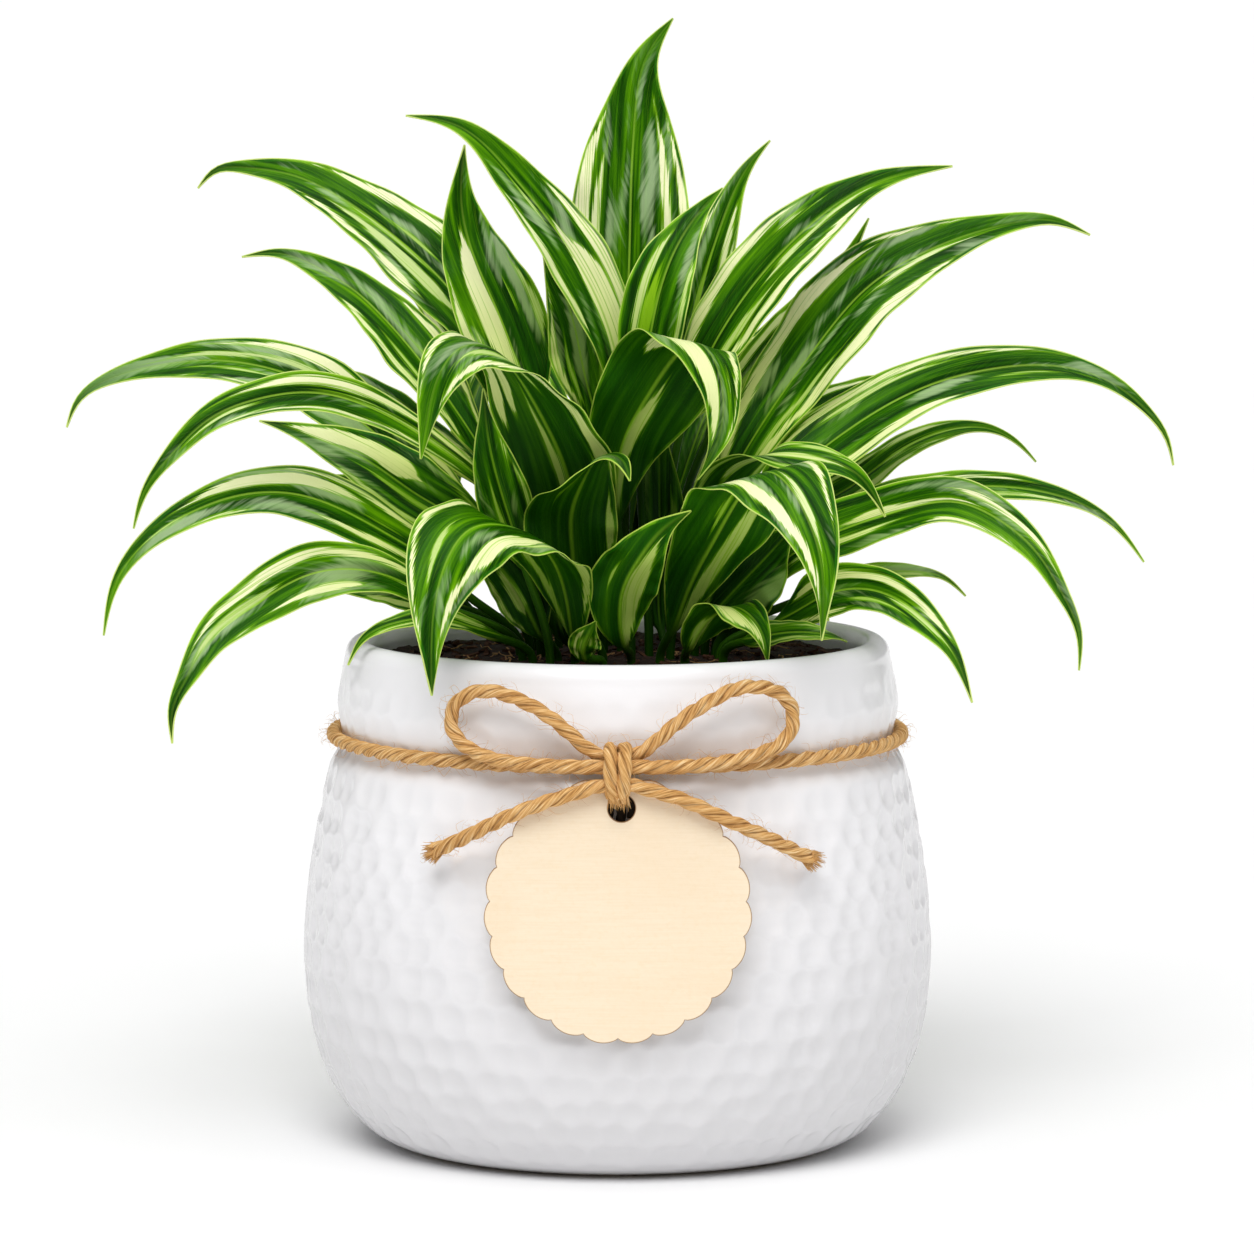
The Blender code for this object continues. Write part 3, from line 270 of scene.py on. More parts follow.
# Each leaf: name, blade width, where along the blade it is widest, how full it stays beyond there, foot in
# the soil (x, y), the way the upper face looks where the blade begins and at its tip, and the midrib's
# route from the start of the blade to the tip.
LEAVES = [
    ("upper_left_1", 26, 0.38, 1.2, (-17, 16), TO_RIGHT, (0.1, -0.9, 0.5),
     [(-32, 25, 206), (-44, 31, 237), (-61, 39, 255), (-82, 47, 270), (-94, 50, 275.5), (-109, 52, 278),
      (-118, 52, 277), (-123, 52, 272)]),
    ("upper_left_2", 19, 0.4, 1.2, (-21, 8), TO_RIGHT, (0.1, -0.9, 0.5),
     [(-38, 10, 195), (-51, 14, 216), (-67, 22, 235), (-77, 26, 244), (-87, 28, 250), (-99, 30, 254),
      (-109, 30, 253)]),
    ("upper_left_3", 25, 0.4, 1.4, (-10, 4), (0.2, -1, 0.1), (0.2, -1, 0.1),
     [(-24, 4, 205), (-30, 6, 227), (-36, 8, 242), (-42, 12, 256), (-45, 15, 270), (-44, 16, 286)]),
    ("top_1", 18, 0.42, 1.5, (1, -4), (0.3, -0.9, 0.3), (0.1, -0.9, 0.5),
     [(2, -5, 208), (-3, -9, 236), (-15.5, -12, 260), (-30, -13, 278.5), (-45, -12, 292), (-60, -9, 295)]),
    ("top_2", 18, 0.4, 1.4, (-4, 3), (0.2, -1, 0.1), (0.2, -1, 0.2),
     [(-6, 4, 206), (-10, 5, 223), (-14, 6, 240), (-19, 7, 252), (-22, 8, 260)]),
    ("top_3", 34, 0.45, 1.5, (2, 10), TO_FRONT, (0, -1, 0.2),
     [(1, 16, 212), (3, 20, 244), (4, 24, 277), (5, 26, 294), (8, 28, 310), (16, 28, 322)]),
    ("top_4", 19, 0.42, 1.5, (9, -5), (-0.2, -1, 0.1), (-0.2, -1, 0.2),
     [(6.5, -10, 208), (9.5, -14, 234), (15, -11, 254), (23, -4, 267), (30, 3, 274)]),
    ("top_5", 15, 0.42, 1.5, (9, 9), (-0.2, -1, 0.1), (-0.2, -1, 0.2),
     [(16, 11, 207), (24, 15, 244), (31, 19, 266), (38, 22, 280), (44, 22, 287)]),
    ("upper_right_1", 21, 0.4, 1.4, (14, 3), (-0.4, -0.9, 0.3), UP_FRONT,
     [(18, 0, 205), (29, 0, 232), (41, 3, 249), (56, 7, 264), (76, 11, 276), (96, 10, 280)]),
    ("upper_right_2", 13, 0.4, 1.4, (14, 15), (-0.4, -0.9, 0.3), UP_FRONT,
     [(26, 24, 200), (40, 30, 220), (55, 34, 237), (66, 36, 251), (73, 36, 264)]),
    ("upper_right_3", 27, 0.46, 1.1, (20, 6), TO_LEFT, UP_FRONT,
     [(27, 6, 176), (34, 6, 193), (49, 10, 217), (61, 13, 233), (71, 16, 244), (91, 20, 256), (113, 20, 263),
      (125, 18, 264), (136, 16, 260)]),
    ("right_1", 21, 0.32, 1.0, (25, 0), TO_LEFT, UP_FRONT,
     [(36, -1.5, 169), (46, -2, 187), (65, 3, 204), (89, 8, 217), (109, 10, 222), (120, 9, 223),
      (131, 7, 222), (142, 4, 218), (151, 1, 211), (157, -1, 203), (159, -2, 195)]),
    ("right_2", 11, 0.3, 1.0, (25, 9), TO_LEFT, UP_FRONT,
     [(48, 12, 177), (67, 18, 187), (82, 26, 197), (94, 31, 202), (107, 34, 203), (116, 35, 199),
      (122, 35, 193)]),
    ("right_3", 11, 0.3, 1.2, (28, 4), UP_LEFT, UP_FRONT,
     [(52, 5, 172), (78, 6, 184), (98, 6, 188), (113, 6, 188), (129, 4, 185), (142, 2, 178), (151, 0, 167)]),
    ("right_4", 17, 0.32, 1.2, (28, -5), UP_LEFT, UP_FRONT,
     [(38, -6, 155), (46, -7, 166), (66, -10, 178), (83, -15, 184), (96, -20, 186), (107, -25, 182),
      (118, -30, 173), (125, -34, 162), (130, -37, 150), (130, -38, 140)]),
    ("right_5", 7, 0.3, 1.1, (30, 0), UP_LEFT, UP_FRONT,
     [(50, 2, 155), (67, 3, 162), (84, 4, 164), (94, 4, 162), (100, 2, 157)]),
    ("right_6", 15, 0.25, 1.4, (29, -12), UP_LEFT, UP_FRONT,
     [(45, -16, 151), (59, -24, 160), (73, -33, 162), (86, -43, 155), (94, -50, 146), (99, -56, 133)]),
    ("right_7", 8, 0.3, 1.2, (30, -18), (-0.5, -0.6, 0.6), (0, -0.7, 0.7),
     [(36, -27, 147), (47, -32, 150), (58, -31, 149.5), (65, -23, 146.5)]),
    ("left_1", 19, 0.43, 1.25, (-24, 12), TO_RIGHT, UP_FRONT,
     [(-40, 12.5, 171), (-48, 13, 185), (-67, 15, 200.5), (-89, 18, 217), (-104, 21, 222), (-119, 22, 223.5),
      (-133, 20, 222), (-146.5, 16, 218.5), (-155, 13, 213), (-158.5, 10, 205)]),
    ("left_2", 11.5, 0.5, 1.5, (-22, -4), TO_RIGHT, UP_FRONT,
     [(-33, -12, 185), (-50, -15, 200.5), (-66, -19, 211), (-87, -25, 217.5), (-101, -29, 216),
      (-114, -32, 211), (-125, -34, 201), (-133, -36, 190), (-136, -37, 180)]),
    ("left_3", 20, 0.52, 1.3, (-25, 5), TO_RIGHT, UP_FRONT,
     [(-33, 3, 158), (-42, 0, 176), (-57, 1, 186), (-72, 3, 196), (-83, 4, 201), (-93, 6, 204.5),
      (-103, 8, 207)]),
    ("left_4", 16.5, 0.36, 1.15, (-27, -3), TO_RIGHT, UP_FRONT,
     [(-43, -5, 158), (-48, -6, 163), (-67, -12, 177), (-91, -18, 188), (-108, -24, 188), (-121, -29, 183.5),
      (-133, -33, 175.5), (-141, -36, 165), (-144.5, -39, 150)]),
    ("left_5", 16.5, 0.42, 1.5, (-27, -13), UP_RIGHT, UP_FRONT,
     [(-48, -19, 155.5), (-64, -25, 165), (-86, -34, 167), (-102, -43, 159), (-113, -50, 151),
      (-120, -55, 140), (-124, -58, 131), (-124, -60, 122)]),
    ("left_6", 14, 0.4, 1.4, (-28, 1), UP_RIGHT, UP_FRONT,
     [(-42, 0, 153), (-60, 0, 159), (-74, 2, 160), (-86, 4, 158)]),
    ("left_7", 6.5, 0.4, 1.3, (-24, -22), (0.5, -0.6, 0.6), (0, -0.7, 0.7),
     [(-33, -28, 148), (-50, -31, 154), (-62, -33, 153), (-72, -33, 148), (-76, -34, 141)]),
    ("front_1", 36, 0.42, 1.45, (-8, -14), (0.38, 0.9, 0.1), (0.26, -0.4, 0.9),
     [(-8, -20, 160), (-11, -23.5, 180), (-14.5, -27.5, 197), (-21, -33, 212), (-28.5, -41, 225),
      (-36, -49, 232), (-43.5, -56, 232), (-50, -61, 223), (-53, -61, 211), (-54.5, -60, 201.5)]),
    ("front_2", 15, 0.4, 1.4, (-19, -28), (0.1, -1, 0.1), (0.1, -1, 0.1),
     [(-26, -28.5, 168), (-30, -31.5, 181), (-34, -36.5, 195), (-36.5, -41, 208), (-37.5, -43.5, 220)]),
    ("front_3", 26, 0.42, 1.6, (-4, -22), (0.0, 0.95, 0.1), (0, -0.3, 0.95),
     [(-10, -28, 153), (-12.5, -32, 171), (-13, -36, 184), (-10, -42, 194), (-5, -47, 201), (0.5, -51, 201),
      (3.5, -55, 195)]),
    ("front_4", 30, 0.44, 1.4, (4, -10), (0.2, 0.95, 0.1), (0.2, -0.35, 0.9),
     [(0, -15, 180), (2, -18, 203), (9, -23, 217), (16, -30, 228), (22, -39, 232.5), (27, -47, 228),
      (29.5, -51, 216), (28, -52, 206), (22.5, -51, 195)]),
    ("front_5", 16, 0.4, 1.4, (15, -14), (-0.3, 0.9, 0.4), (0, -0.8, 0.6),
     [(21, -24, 170), (27, -30, 190), (38, -38, 200), (53, -42, 201), (67, -44, 196), (75, -44, 184)]),
    ("front_6", 32, 0.44, 1.4, (12, -23), (-0.3, 0.95, 0.1), (-0.2, -0.35, 0.9),
     [(15, -30, 150), (19, -34, 161), (27, -42, 178), (35, -56, 193), (43, -71, 198.5), (51, -83, 189.5),
      (56, -89, 174), (56, -89, 154)]),
    ("front_7", 19, 0.4, 1.4, (4, -28), (-0.1, 0.9, 0.1), (0, 0.9, 0.2),
     [(2, -38, 147), (1, -46, 161), (6, -54, 173), (13, -57, 182), (20.5, -59, 187)]),
    ("front_8", 34, 0.44, 1.4, (-12, -24), (0.6, 0.75, 0.1), (0.2, -0.5, 0.85),
     [(-12, -34, 148), (-15, -42, 166), (-22, -53, 178.5), (-32, -64, 183.5), (-41.5, -74, 182.5),
      (-48.5, -81, 170.5), (-51, -83, 155), (-51, -82, 138)]),
    ("front_9", 16, 0.4, 1.4, (-17, -18), (0.2, 0.9, 0.1), (0.2, 0.9, 0.1),
     [(-21, -24, 148), (-27, -24, 159), (-34, -24, 169), (-41, -24, 179)]),
    ("front_10", 9, 0.4, 1.4, (-4, -33), (0.1, 0.9, 0.1), (0.1, 0.9, 0.1),
     [(-9, -42, 144), (-9, -46, 149), (-6, -48, 155)]),
    ("front_11", 15, 0.4, 1.4, (19, -27), (-0.3, 0.9, 0.4), (0, -0.7, 0.6),
     [(20, -36, 146), (25, -42, 155), (33, -48, 159), (40, -54, 153), (42, -52, 144)]),
    ("inner_1", 17, 0.35, 1.3, (14, -4), TO_FRONT, TO_FRONT,
     [(12.5, -2.5, 148), (12, -2, 165), (12, -2, 186), (12, -2.5, 214)]),
    ("inner_2", 19, 0.35, 1.3, (-8, -7), TO_FRONT, TO_FRONT,
     [(-11, -9, 144), (-14, -9.5, 160), (-17, -10, 178), (-20, -10, 200)]),
    ("inner_3", 26, 0.42, 1.4, (22, -5), (-0.4, -1, 0.2), (-0.4, -1, 0.2),
     [(26, -8, 151), (33.5, -10, 160), (42, -11, 169), (51, -11.5, 179)]),
    ("back_1", 21, 0.4, 1.4, (-2, 20), (0, -1, 0.3), (0, -0.4, 0.9),
     [(-5, 34, 208), (-7, 50, 239), (-7, 66, 264), (-5, 84, 279)]),
    ("back_2", 25, 0.4, 1.4, (3, 27), (0, -0.8, 0.6), (0.1, 0.5, 0.8),
     [(4, 44, 178), (8, 72, 232), (10, 106, 256), (11, 140, 242), (12, 160, 212)]),
    ("back_3", 23, 0.4, 1.4, (-6, 31), (0.3, -0.7, 0.6), (-0.3, 0.5, 0.8),
     [(-12, 50, 168), (-26, 80, 206), (-38, 112, 216), (-48, 142, 190), (-52, 154, 164)]),
    ("back_4", 23, 0.4, 1.4, (9, 31), (-0.3, -0.7, 0.6), (0.3, 0.5, 0.8),
     [(14, 50, 168), (28, 80, 208), (42, 112, 220), (54, 140, 196), (58, 154, 168)]),
    ("back_5", 23, 0.4, 1.4, (-1, 35), (0, -0.7, 0.7), (0, 0.7, 0.6),
     [(-4, 54, 158), (-10, 84, 178), (-16, 112, 170), (-18, 132, 140)]),
    ("back_6", 20, 0.4, 1.4, (14, 29), (-0.3, -0.7, 0.6), (0.3, 0.6, 0.6),
     [(24, 50, 156), (42, 76, 174), (56, 98, 166), (64, 112, 138)]),
    ("back_right_1", 18, 0.4, 1.4, (15, 22), UP_LEFT, HIGH_FRONT,
     [(24, 40, 184), (51, 62, 200), (76, 80, 209), (98, 92, 213), (116, 98, 211)]),
    ("back_right_2", 20, 0.4, 1.4, (9, 24), UP_LEFT, HIGH_FRONT,
     [(18, 44, 202), (42, 66, 220), (69, 84, 237), (92, 94, 249), (110, 98, 255)]),
    ("back_right_3", 17, 0.4, 1.4, (22, 15), UP_LEFT, HIGH_FRONT,
     [(36, 40, 161), (63, 66, 171), (89, 84, 177), (115, 94, 177)]),
    ("back_left_1", 20, 0.4, 1.4, (-11, 25), UP_RIGHT, HIGH_FRONT,
     [(-21, 46, 199), (-46, 64, 230), (-69, 80, 256), (-93, 88, 271)]),
    ("back_left_2", 19, 0.4, 1.4, (-20, 20), UP_RIGHT, HIGH_FRONT,
     [(-37, 42, 184), (-63, 62, 200), (-87, 78, 212), (-113, 90, 217), (-133, 96, 215)]),
    ("back_left_3", 18, 0.4, 1.4, (-24, 17), UP_RIGHT, HIGH_FRONT,
     [(-40, 38, 161), (-64, 60, 172), (-92, 80, 180), (-120, 96, 176), (-137, 104, 164)]),
]

# Pale bands of each leaf: middle across the blade, half width, start and end along the blade, and tone
# from lime 0 to cream 1. Across is -1 to 1: +1 is the upper edge of a leaf that leans left, the lower edge
# of one that leans right, the right edge of one that stands up, and the left edge of one that arches forward.
# Some narrow bands of middle tone, the grey-green strips near the rib, are painted sheen.
PLAIN_BANDS = [(0.62, 0.13, 0, 0.9, 1), (-0.76, 0.1, 0, 0.95, 0.9), (0.2, 0.05, 0.1, 0.8, 0.3),
               (-0.3, 0.08, 0.3, 0.9, 0.4)]
BANDS = {
    "upper_left_1": [(0.8, 0.12, 0.1, 0.9, 1), (-0.35, 0.11, 0.2, 0.85, 0.5), (-0.78, 0.09, 0.25, 1, 1),
                     (0.25, 0.06, 0.3, 0.7, 0.2), (-0.05, 0.05, 0.3, 0.8, 0.35)],
    "upper_left_2": [(0.84, 0.12, -0.1, 0.72, 1), (-0.8, 0.08, 0, 0.85, 0.8), (-0.48, 0.05, 0.1, 0.7, 0.3),
                     (0.2, 0.06, 0.2, 0.6, 0.3)],
    "upper_left_3": [(-0.2, 0.22, -0.3, 0.88, 1), (-0.88, 0.08, 0, 0.75, 0.9), (-0.64, 0.05, 0.2, 0.55, 0.8),
                     (0.84, 0.06, 0.2, 0.75, 0.4), (0.4, 0.05, 0.3, 0.75, 0.1)],
    "top_1": [(0.83, 0.15, 0, 0.82, 1), (0.1, 0.34, -0.2, 0.66, 1), (-0.86, 0.08, 0.15, 0.88, 0.8),
              (-0.2, 0.05, 0.45, 0.95, 0.4)],
    "top_2": [(-0.84, 0.1, 0, 0.95, 0.9), (-0.45, 0.05, 0, 0.65, 0.2), (0.6, 0.05, 0, 0.55, 0.1)],
    "top_3": [(-0.86, 0.1, -0.1, 0.9, 1), (-0.57, 0.04, 0.25, 0.85, 0.85), (0.62, 0.06, -0.1, 0.95, 1),
              (0.9, 0.07, -0.1, 0.88, 1)],
    "top_4": [(-0.5, 0.07, -0.1, 0.92, 0.6), (-0.2, 0.12, -0.1, 0.74, 0), (0.84, 0.06, 0, 0.9, 0.5)],
    "top_5": [(-0.74, 0.19, -0.1, 0.97, 1), (0.6, 0.14, -0.1, 0.92, 0.8), (0.9, 0.08, 0.1, 0.9, 1),
              (0, 0.05, 0, 0.8, 0.1)],
    "upper_right_1": [(-0.83, 0.14, -0.1, 0.8, 1), (-0.52, 0.05, 0.45, 0.87, 0.8),
                      (0.25, 0.07, 0.35, 1, 0.55), (0.8, 0.06, 0, 1, 1), (0.52, 0.07, 0, 0.62, 0.45)],
    "upper_right_2": [(-0.6, 0.13, 0, 0.85, 0.8), (0.7, 0.1, 0, 0.9, 0.7), (-0.1, 0.08, 0, 0.8, 0.3)],
    "upper_right_3": [(-0.74, 0.16, -0.1, 0.74, 1), (-0.88, 0.07, 0.5, 1, 1), (-0.55, 0.04, 0.45, 0.72, 0.7),
                      (0.2, 0.08, 0.45, 1, 0.75), (0.84, 0.11, -0.1, 0.92, 1), (0.58, 0.05, 0.05, 0.62, 0.4)],
    "right_1": [(-0.84, 0.08, 0.05, 0.95, 0.9), (-0.6, 0.04, 0.15, 0.72, 0.6), (0.42, 0.05, 0.5, 0.97, 0.3),
                (0.86, 0.09, 0, 0.78, 1)],
    "right_2": [(-0.7, 0.1, 0, 0.92, 0.6), (0.7, 0.1, 0, 0.92, 0.6), (0.1, 0.1, 0.3, 0.97, 0.4)],
    "right_3": [(-0.62, 0.09, 0.1, 0.88, 1), (0.62, 0.08, 0.35, 1, 0.5)],
    "right_4": [(-0.12, 0.1, 0.2, 0.74, 1), (-0.52, 0.14, 0.42, 1, 1), (0.4, 0.06, 0, 0.6, 0.8),
                (0.88, 0.08, 0.35, 0.88, 1), (-0.62, 0.08, 0.05, 0.45, 0.7)],
    "right_5": [(-0.72, 0.1, 0, 0.75, 0.5), (0.45, 0.16, 0.3, 1, 0.45)],
    "right_6": [(-0.55, 0.14, 0, 0.98, 1), (0.78, 0.11, -0.1, 0.55, 1), (0.1, 0.08, 0.4, 1, 0.5),
                (0.45, 0.06, 0.25, 0.8, 0.2)],
    "right_7": [(-0.8, 0.1, 0, 0.95, 0.5), (0.78, 0.1, 0, 0.95, 0.5)],
    "left_1": [(0.76, 0.13, -0.1, 0.84, 1), (0.34, 0.09, 0.3, 0.95, 0.45), (-0.87, 0.09, 0.4, 1, 1),
               (-0.35, 0.08, 0.45, 0.9, 0.35)],
    "left_2": [(0.58, 0.19, -0.1, 0.86, 1), (-0.82, 0.09, 0, 0.9, 0.9), (-0.25, 0.1, 0.5, 1, 0.5),
               (0.1, 0.05, 0, 0.7, 0.3)],
    "left_3": [(0.36, 0.29, 0.4, 1.15, 1), (-0.9, 0.08, 0.2, 1, 0.5), (-0.3, 0.05, 0.2, 0.8, 0.1),
               (0.8, 0.05, 0.1, 0.6, 0.2)],
    "left_4": [(0.86, 0.09, 0, 0.68, 1), (0.53, 0.14, 0.22, 0.9, 0.85), (-0.58, 0.14, 0, 0.58, 1),
               (0, 0.11, 0.58, 1, 0.5), (-0.84, 0.09, 0.45, 0.95, 0.6), (0.2, 0.05, 0.1, 0.5, 0.4)],
    "left_5": [(0.62, 0.12, 0, 0.98, 1), (-0.6, 0.14, 0.17, 0.7, 1), (0.1, 0.18, 0.42, 1, 0.45),
               (-0.15, 0.05, -0.1, 0.38, 0.8), (-0.88, 0.07, 0.5, 0.92, 0.6)],
    "left_6": [(0.3, 0.16, 0, 0.92, 0.6), (-0.75, 0.1, 0, 0.92, 0.8)],
    "left_7": [(0.5, 0.16, 0, 0.95, 0.5), (-0.6, 0.13, 0.1, 1, 0.6)],
    "front_1": [(0.78, 0.08, 0.33, 1.1, 1), (0.52, 0.08, 0.36, 0.82, 0.9), (-0.76, 0.11, -0.1, 1.1, 1),
                (-0.3, 0.07, 0.42, 0.98, 0.4), (0.15, 0.08, -0.2, 0.62, 0.6)],
    "front_2": [(0.8, 0.1, 0, 0.92, 0.5), (-0.3, 0.06, 0, 0.7, 0.2)],
    "front_3": [(0.45, 0.05, 0.45, 0.92, 0.1), (-0.83, 0.08, 0.2, 0.75, 0.6)],
    "front_4": [(0.5, 0.22, 0.4, 1.15, 1), (-0.78, 0.11, 0.45, 1.1, 1), (-0.4, 0.05, 0.6, 0.98, 0.6),
                (-0.15, 0.11, -0.2, 0.58, 0.7)],
    "front_5": [(0.1, 0.16, 0.25, 1, 0.75), (-0.76, 0.1, 0.05, 1, 0.4), (0.76, 0.1, 0.1, 1, 0.4)],
    "front_6": [(0.6, 0.13, 0.38, 1.15, 1), (-0.12, 0.08, 0.5, 1, 0.7), (-0.8, 0.07, 0.3, 0.95, 1),
                (-0.42, 0.17, -0.3, 0.54, 0.5), (0.15, 0.08, 0.2, 0.62, 0.1)],
    "front_7": [(-0.35, 0.21, -0.3, 0.98, 0.6), (0.45, 0.07, 0.3, 0.7, 0.3)],
    "front_8": [(0.85, 0.06, 0.34, 1.1, 1), (-0.6, 0.13, 0.34, 1.1, 1), (0.34, 0.05, 0.5, 0.92, 0.4),
                (0.6, 0.09, -0.2, 0.5, 0.3), (-0.78, 0.1, 0, 0.62, 0.6)],
    "front_9": [(0.2, 0.24, 0.15, 0.82, 0.8), (0.84, 0.09, 0, 0.85, 0.8)],
    "front_11": [(0.5, 0.24, 0.36, 1.1, 1), (-0.6, 0.07, 0.4, 0.9, 0.2), (0, 0.21, -0.2, 0.5, 0.4)],
    "inner_1": [(0.5, 0.08, 0, 0.8, 0.3)],
    "inner_2": [(-0.4, 0.08, 0, 0.8, 0.4)],
    "inner_3": [(-0.5, 0.1, -0.1, 0.9, 0.5)],
}
BAND_SLOTS = 6
NO_BAND = (0, -1, 0, 1, 0)
TONES_TOGETHER = 3
BAND_START_TAPER = 0.16
BAND_END_TAPER = 0.36
BAND_TAPER_LOSS = 1.2


def smoothstep(value, start, end):
    """An eased share: 0 at start, 1 at end."""
    share = np.clip((np.asarray(value, dtype=float) - start) / (end - start), 0, 1)
    return share * share * (3 - 2 * share)


def unit(vectors):
    """The vectors at length 1."""
    vectors = np.asarray(vectors, dtype=float)
    return vectors / np.linalg.norm(vectors, axis=-1, keepdims=True)


def even_turns(sides):
    """The angles of a ring's corners."""
    return 2 * np.pi * np.arange(sides) / sides


def path_steps(points):
    """The distance from each point to the next."""
    return np.linalg.norm(np.diff(points, axis=0), axis=1)


def lengths_along(points):
    """The length of a path up to each of its points."""
    return np.concatenate([[0], np.cumsum(path_steps(points))])


def spline_points(points, start_slope=None):
    """Fine points of a cubic spline, their lengths along it, and the length at each given point."""
    given = np.array(points, dtype=float)
    steps = path_steps(given)
    slopes = np.diff(given, axis=0) / steps[:, None]
    last = len(given) - 1
    system = np.eye(last + 1)
    right = np.zeros_like(given)
    if start_slope is not None:
        system[0, 0:2] = 2 * steps[0], steps[0]
        right[0] = 6 * (slopes[0] - np.array(start_slope, dtype=float))
    for i in range(1, last):
        system[i, i - 1:i + 2] = steps[i - 1], 2 * (steps[i - 1] + steps[i]), steps[i]
        right[i] = 6 * (slopes[i] - slopes[i - 1])
    bends = np.linalg.solve(system, right)
    fine = [given[0]]
    for i in range(last):
        h = steps[i]
        for s in np.linspace(0, h, SPLINE_STEPS + 1)[1:]:
            fine.append(given[i] + s * (slopes[i] - h * (2 * bends[i] + bends[i + 1]) / 6)
                        + s * s * bends[i] / 2 + s ** 3 * (bends[i + 1] - bends[i]) / (6 * h))
    fine = np.array(fine)
    along = lengths_along(fine)
    return fine, along, along[::SPLINE_STEPS]


def at_lengths(points, along, wanted):
    """The points of a path at the wanted lengths along it."""
    return np.column_stack([np.interp(wanted, along, points[:, k]) for k in range(points.shape[1])])


def even_path(route, step):
    """Points about a step apart along a smooth route."""
    fine, along, _ = spline_points(route)
    count = round(along[-1] / step) + 1
    return at_lengths(fine, along, np.linspace(0, along[-1], count))


def grid_faces(rows, columns, closed):
    """Quads between rows of points; closed joins the last column to the first."""
    faces = []
    for row in range(rows - 1):
        low = row * columns
        high = low + columns
        for i in range(columns if closed else columns - 1):
            j = (i + 1) % columns
            faces.append((low + i, low + j, high + j, high + i))
    return faces


def tube_faces(rows, columns):
    """Quads between closed rows of points, and a face that closes each end."""
    last = (rows - 1) * columns
    ends = [tuple(reversed(range(columns))), tuple(range(last, last + columns))]
    return grid_faces(rows, columns, True) + ends


def flipped(faces):
    """The same faces, looking the other way."""
    return [tuple(reversed(face)) for face in faces]


def tube_rings(path, radii, out, beside, sides):
    """Rings of points round a path; out and beside are the two ways across it."""
    around = even_turns(sides)
    radii = np.broadcast_to(radii, len(path))[:, None, None]
    return (path[:, None, :] + radii * np.cos(around)[None, :, None] * out[:, None, :]
            + radii * np.sin(around)[None, :, None] * beside[:, None, :])


def point_values(shape, *columns):
    """A row of values for each point of a grid; each column is spread over the grid."""
    return np.column_stack([np.broadcast_to(values, shape).reshape(-1) for values in columns])


def rotated(points, angles):
    """Points turned about X, then Y, then Z."""
    cx, sx, cy, sy, cz, sz = (f(a) for a in angles for f in (math.cos, math.sin))
    about_x = np.array([[1, 0, 0], [0, cx, -sx], [0, sx, cx]])
    about_y = np.array([[cy, 0, sy], [0, 1, 0], [-sy, 0, cy]])
    about_z = np.array([[cz, -sz, 0], [sz, cz, 0], [0, 0, 1]])
    return np.asarray(points) @ (about_z @ about_y @ about_x).T


class Builder:
    """Collects points in millimetres, faces and per-point values for one mesh."""

    def __init__(self):
        self.points = []
        self.faces = []
        self.slots = []
        self.values = {}
        self.count = 0

    def add(self, points, faces, slot=0, **values):
        """Adds points and faces; a value is the same for all the points or has a row for each."""
        points = np.asarray(points, dtype=float).reshape(-1, 3)
        self.points.append(points)
        for face in faces:
            self.faces.append(tuple(self.count + i for i in face))
        self.slots += [slot] * len(faces)
        self.count += len(points)
        for name, given in values.items():
            given = np.asarray(given, dtype=float)
            if given.ndim < 2:
                given = np.broadcast_to(given, (len(points), given.size))
            self.values.setdefault(name, []).append(given)

    def finish(self, name, materials, slot, node, sharp_angle=None):
        """The finished object, riding on the body and standing for its CAD node."""
        mesh = bpy.data.meshes.new(name)
        mesh.from_pydata((np.concatenate(self.points) * MM).tolist(), [], self.faces)
        for material in materials:
            mesh.materials.append(material)
        mesh.polygons.foreach_set("material_index", self.slots)
        for value_name, given in self.values.items():
            together = np.concatenate(given)
            kind, field = ATTRIBUTE_KINDS[together.shape[1]]
            attribute = mesh.attributes.new(value_name, kind, "POINT")
            attribute.data.foreach_set(field, together.astype(np.float32).ravel())
        mesh.shade_smooth()
        if sharp_angle is not None:
            mesh.set_sharp_from_angle(angle=sharp_angle)
        mesh.update()
        piece = bpy.data.objects.new(name, mesh)
        bpy.context.scene.collection.objects.link(piece)
        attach(piece, BODY)
        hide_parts(node)
        return piece


def tone(red, green, blue):
    """A display colour from 0 to 255 as linear light."""
    linear = []
    for value in (red, green, blue):
        share = value / 255
        linear.append(share / 12.92 if share <= 0.04045 else ((share + 0.055) / 1.055) ** 2.4)
    return (*linear, 1.0)


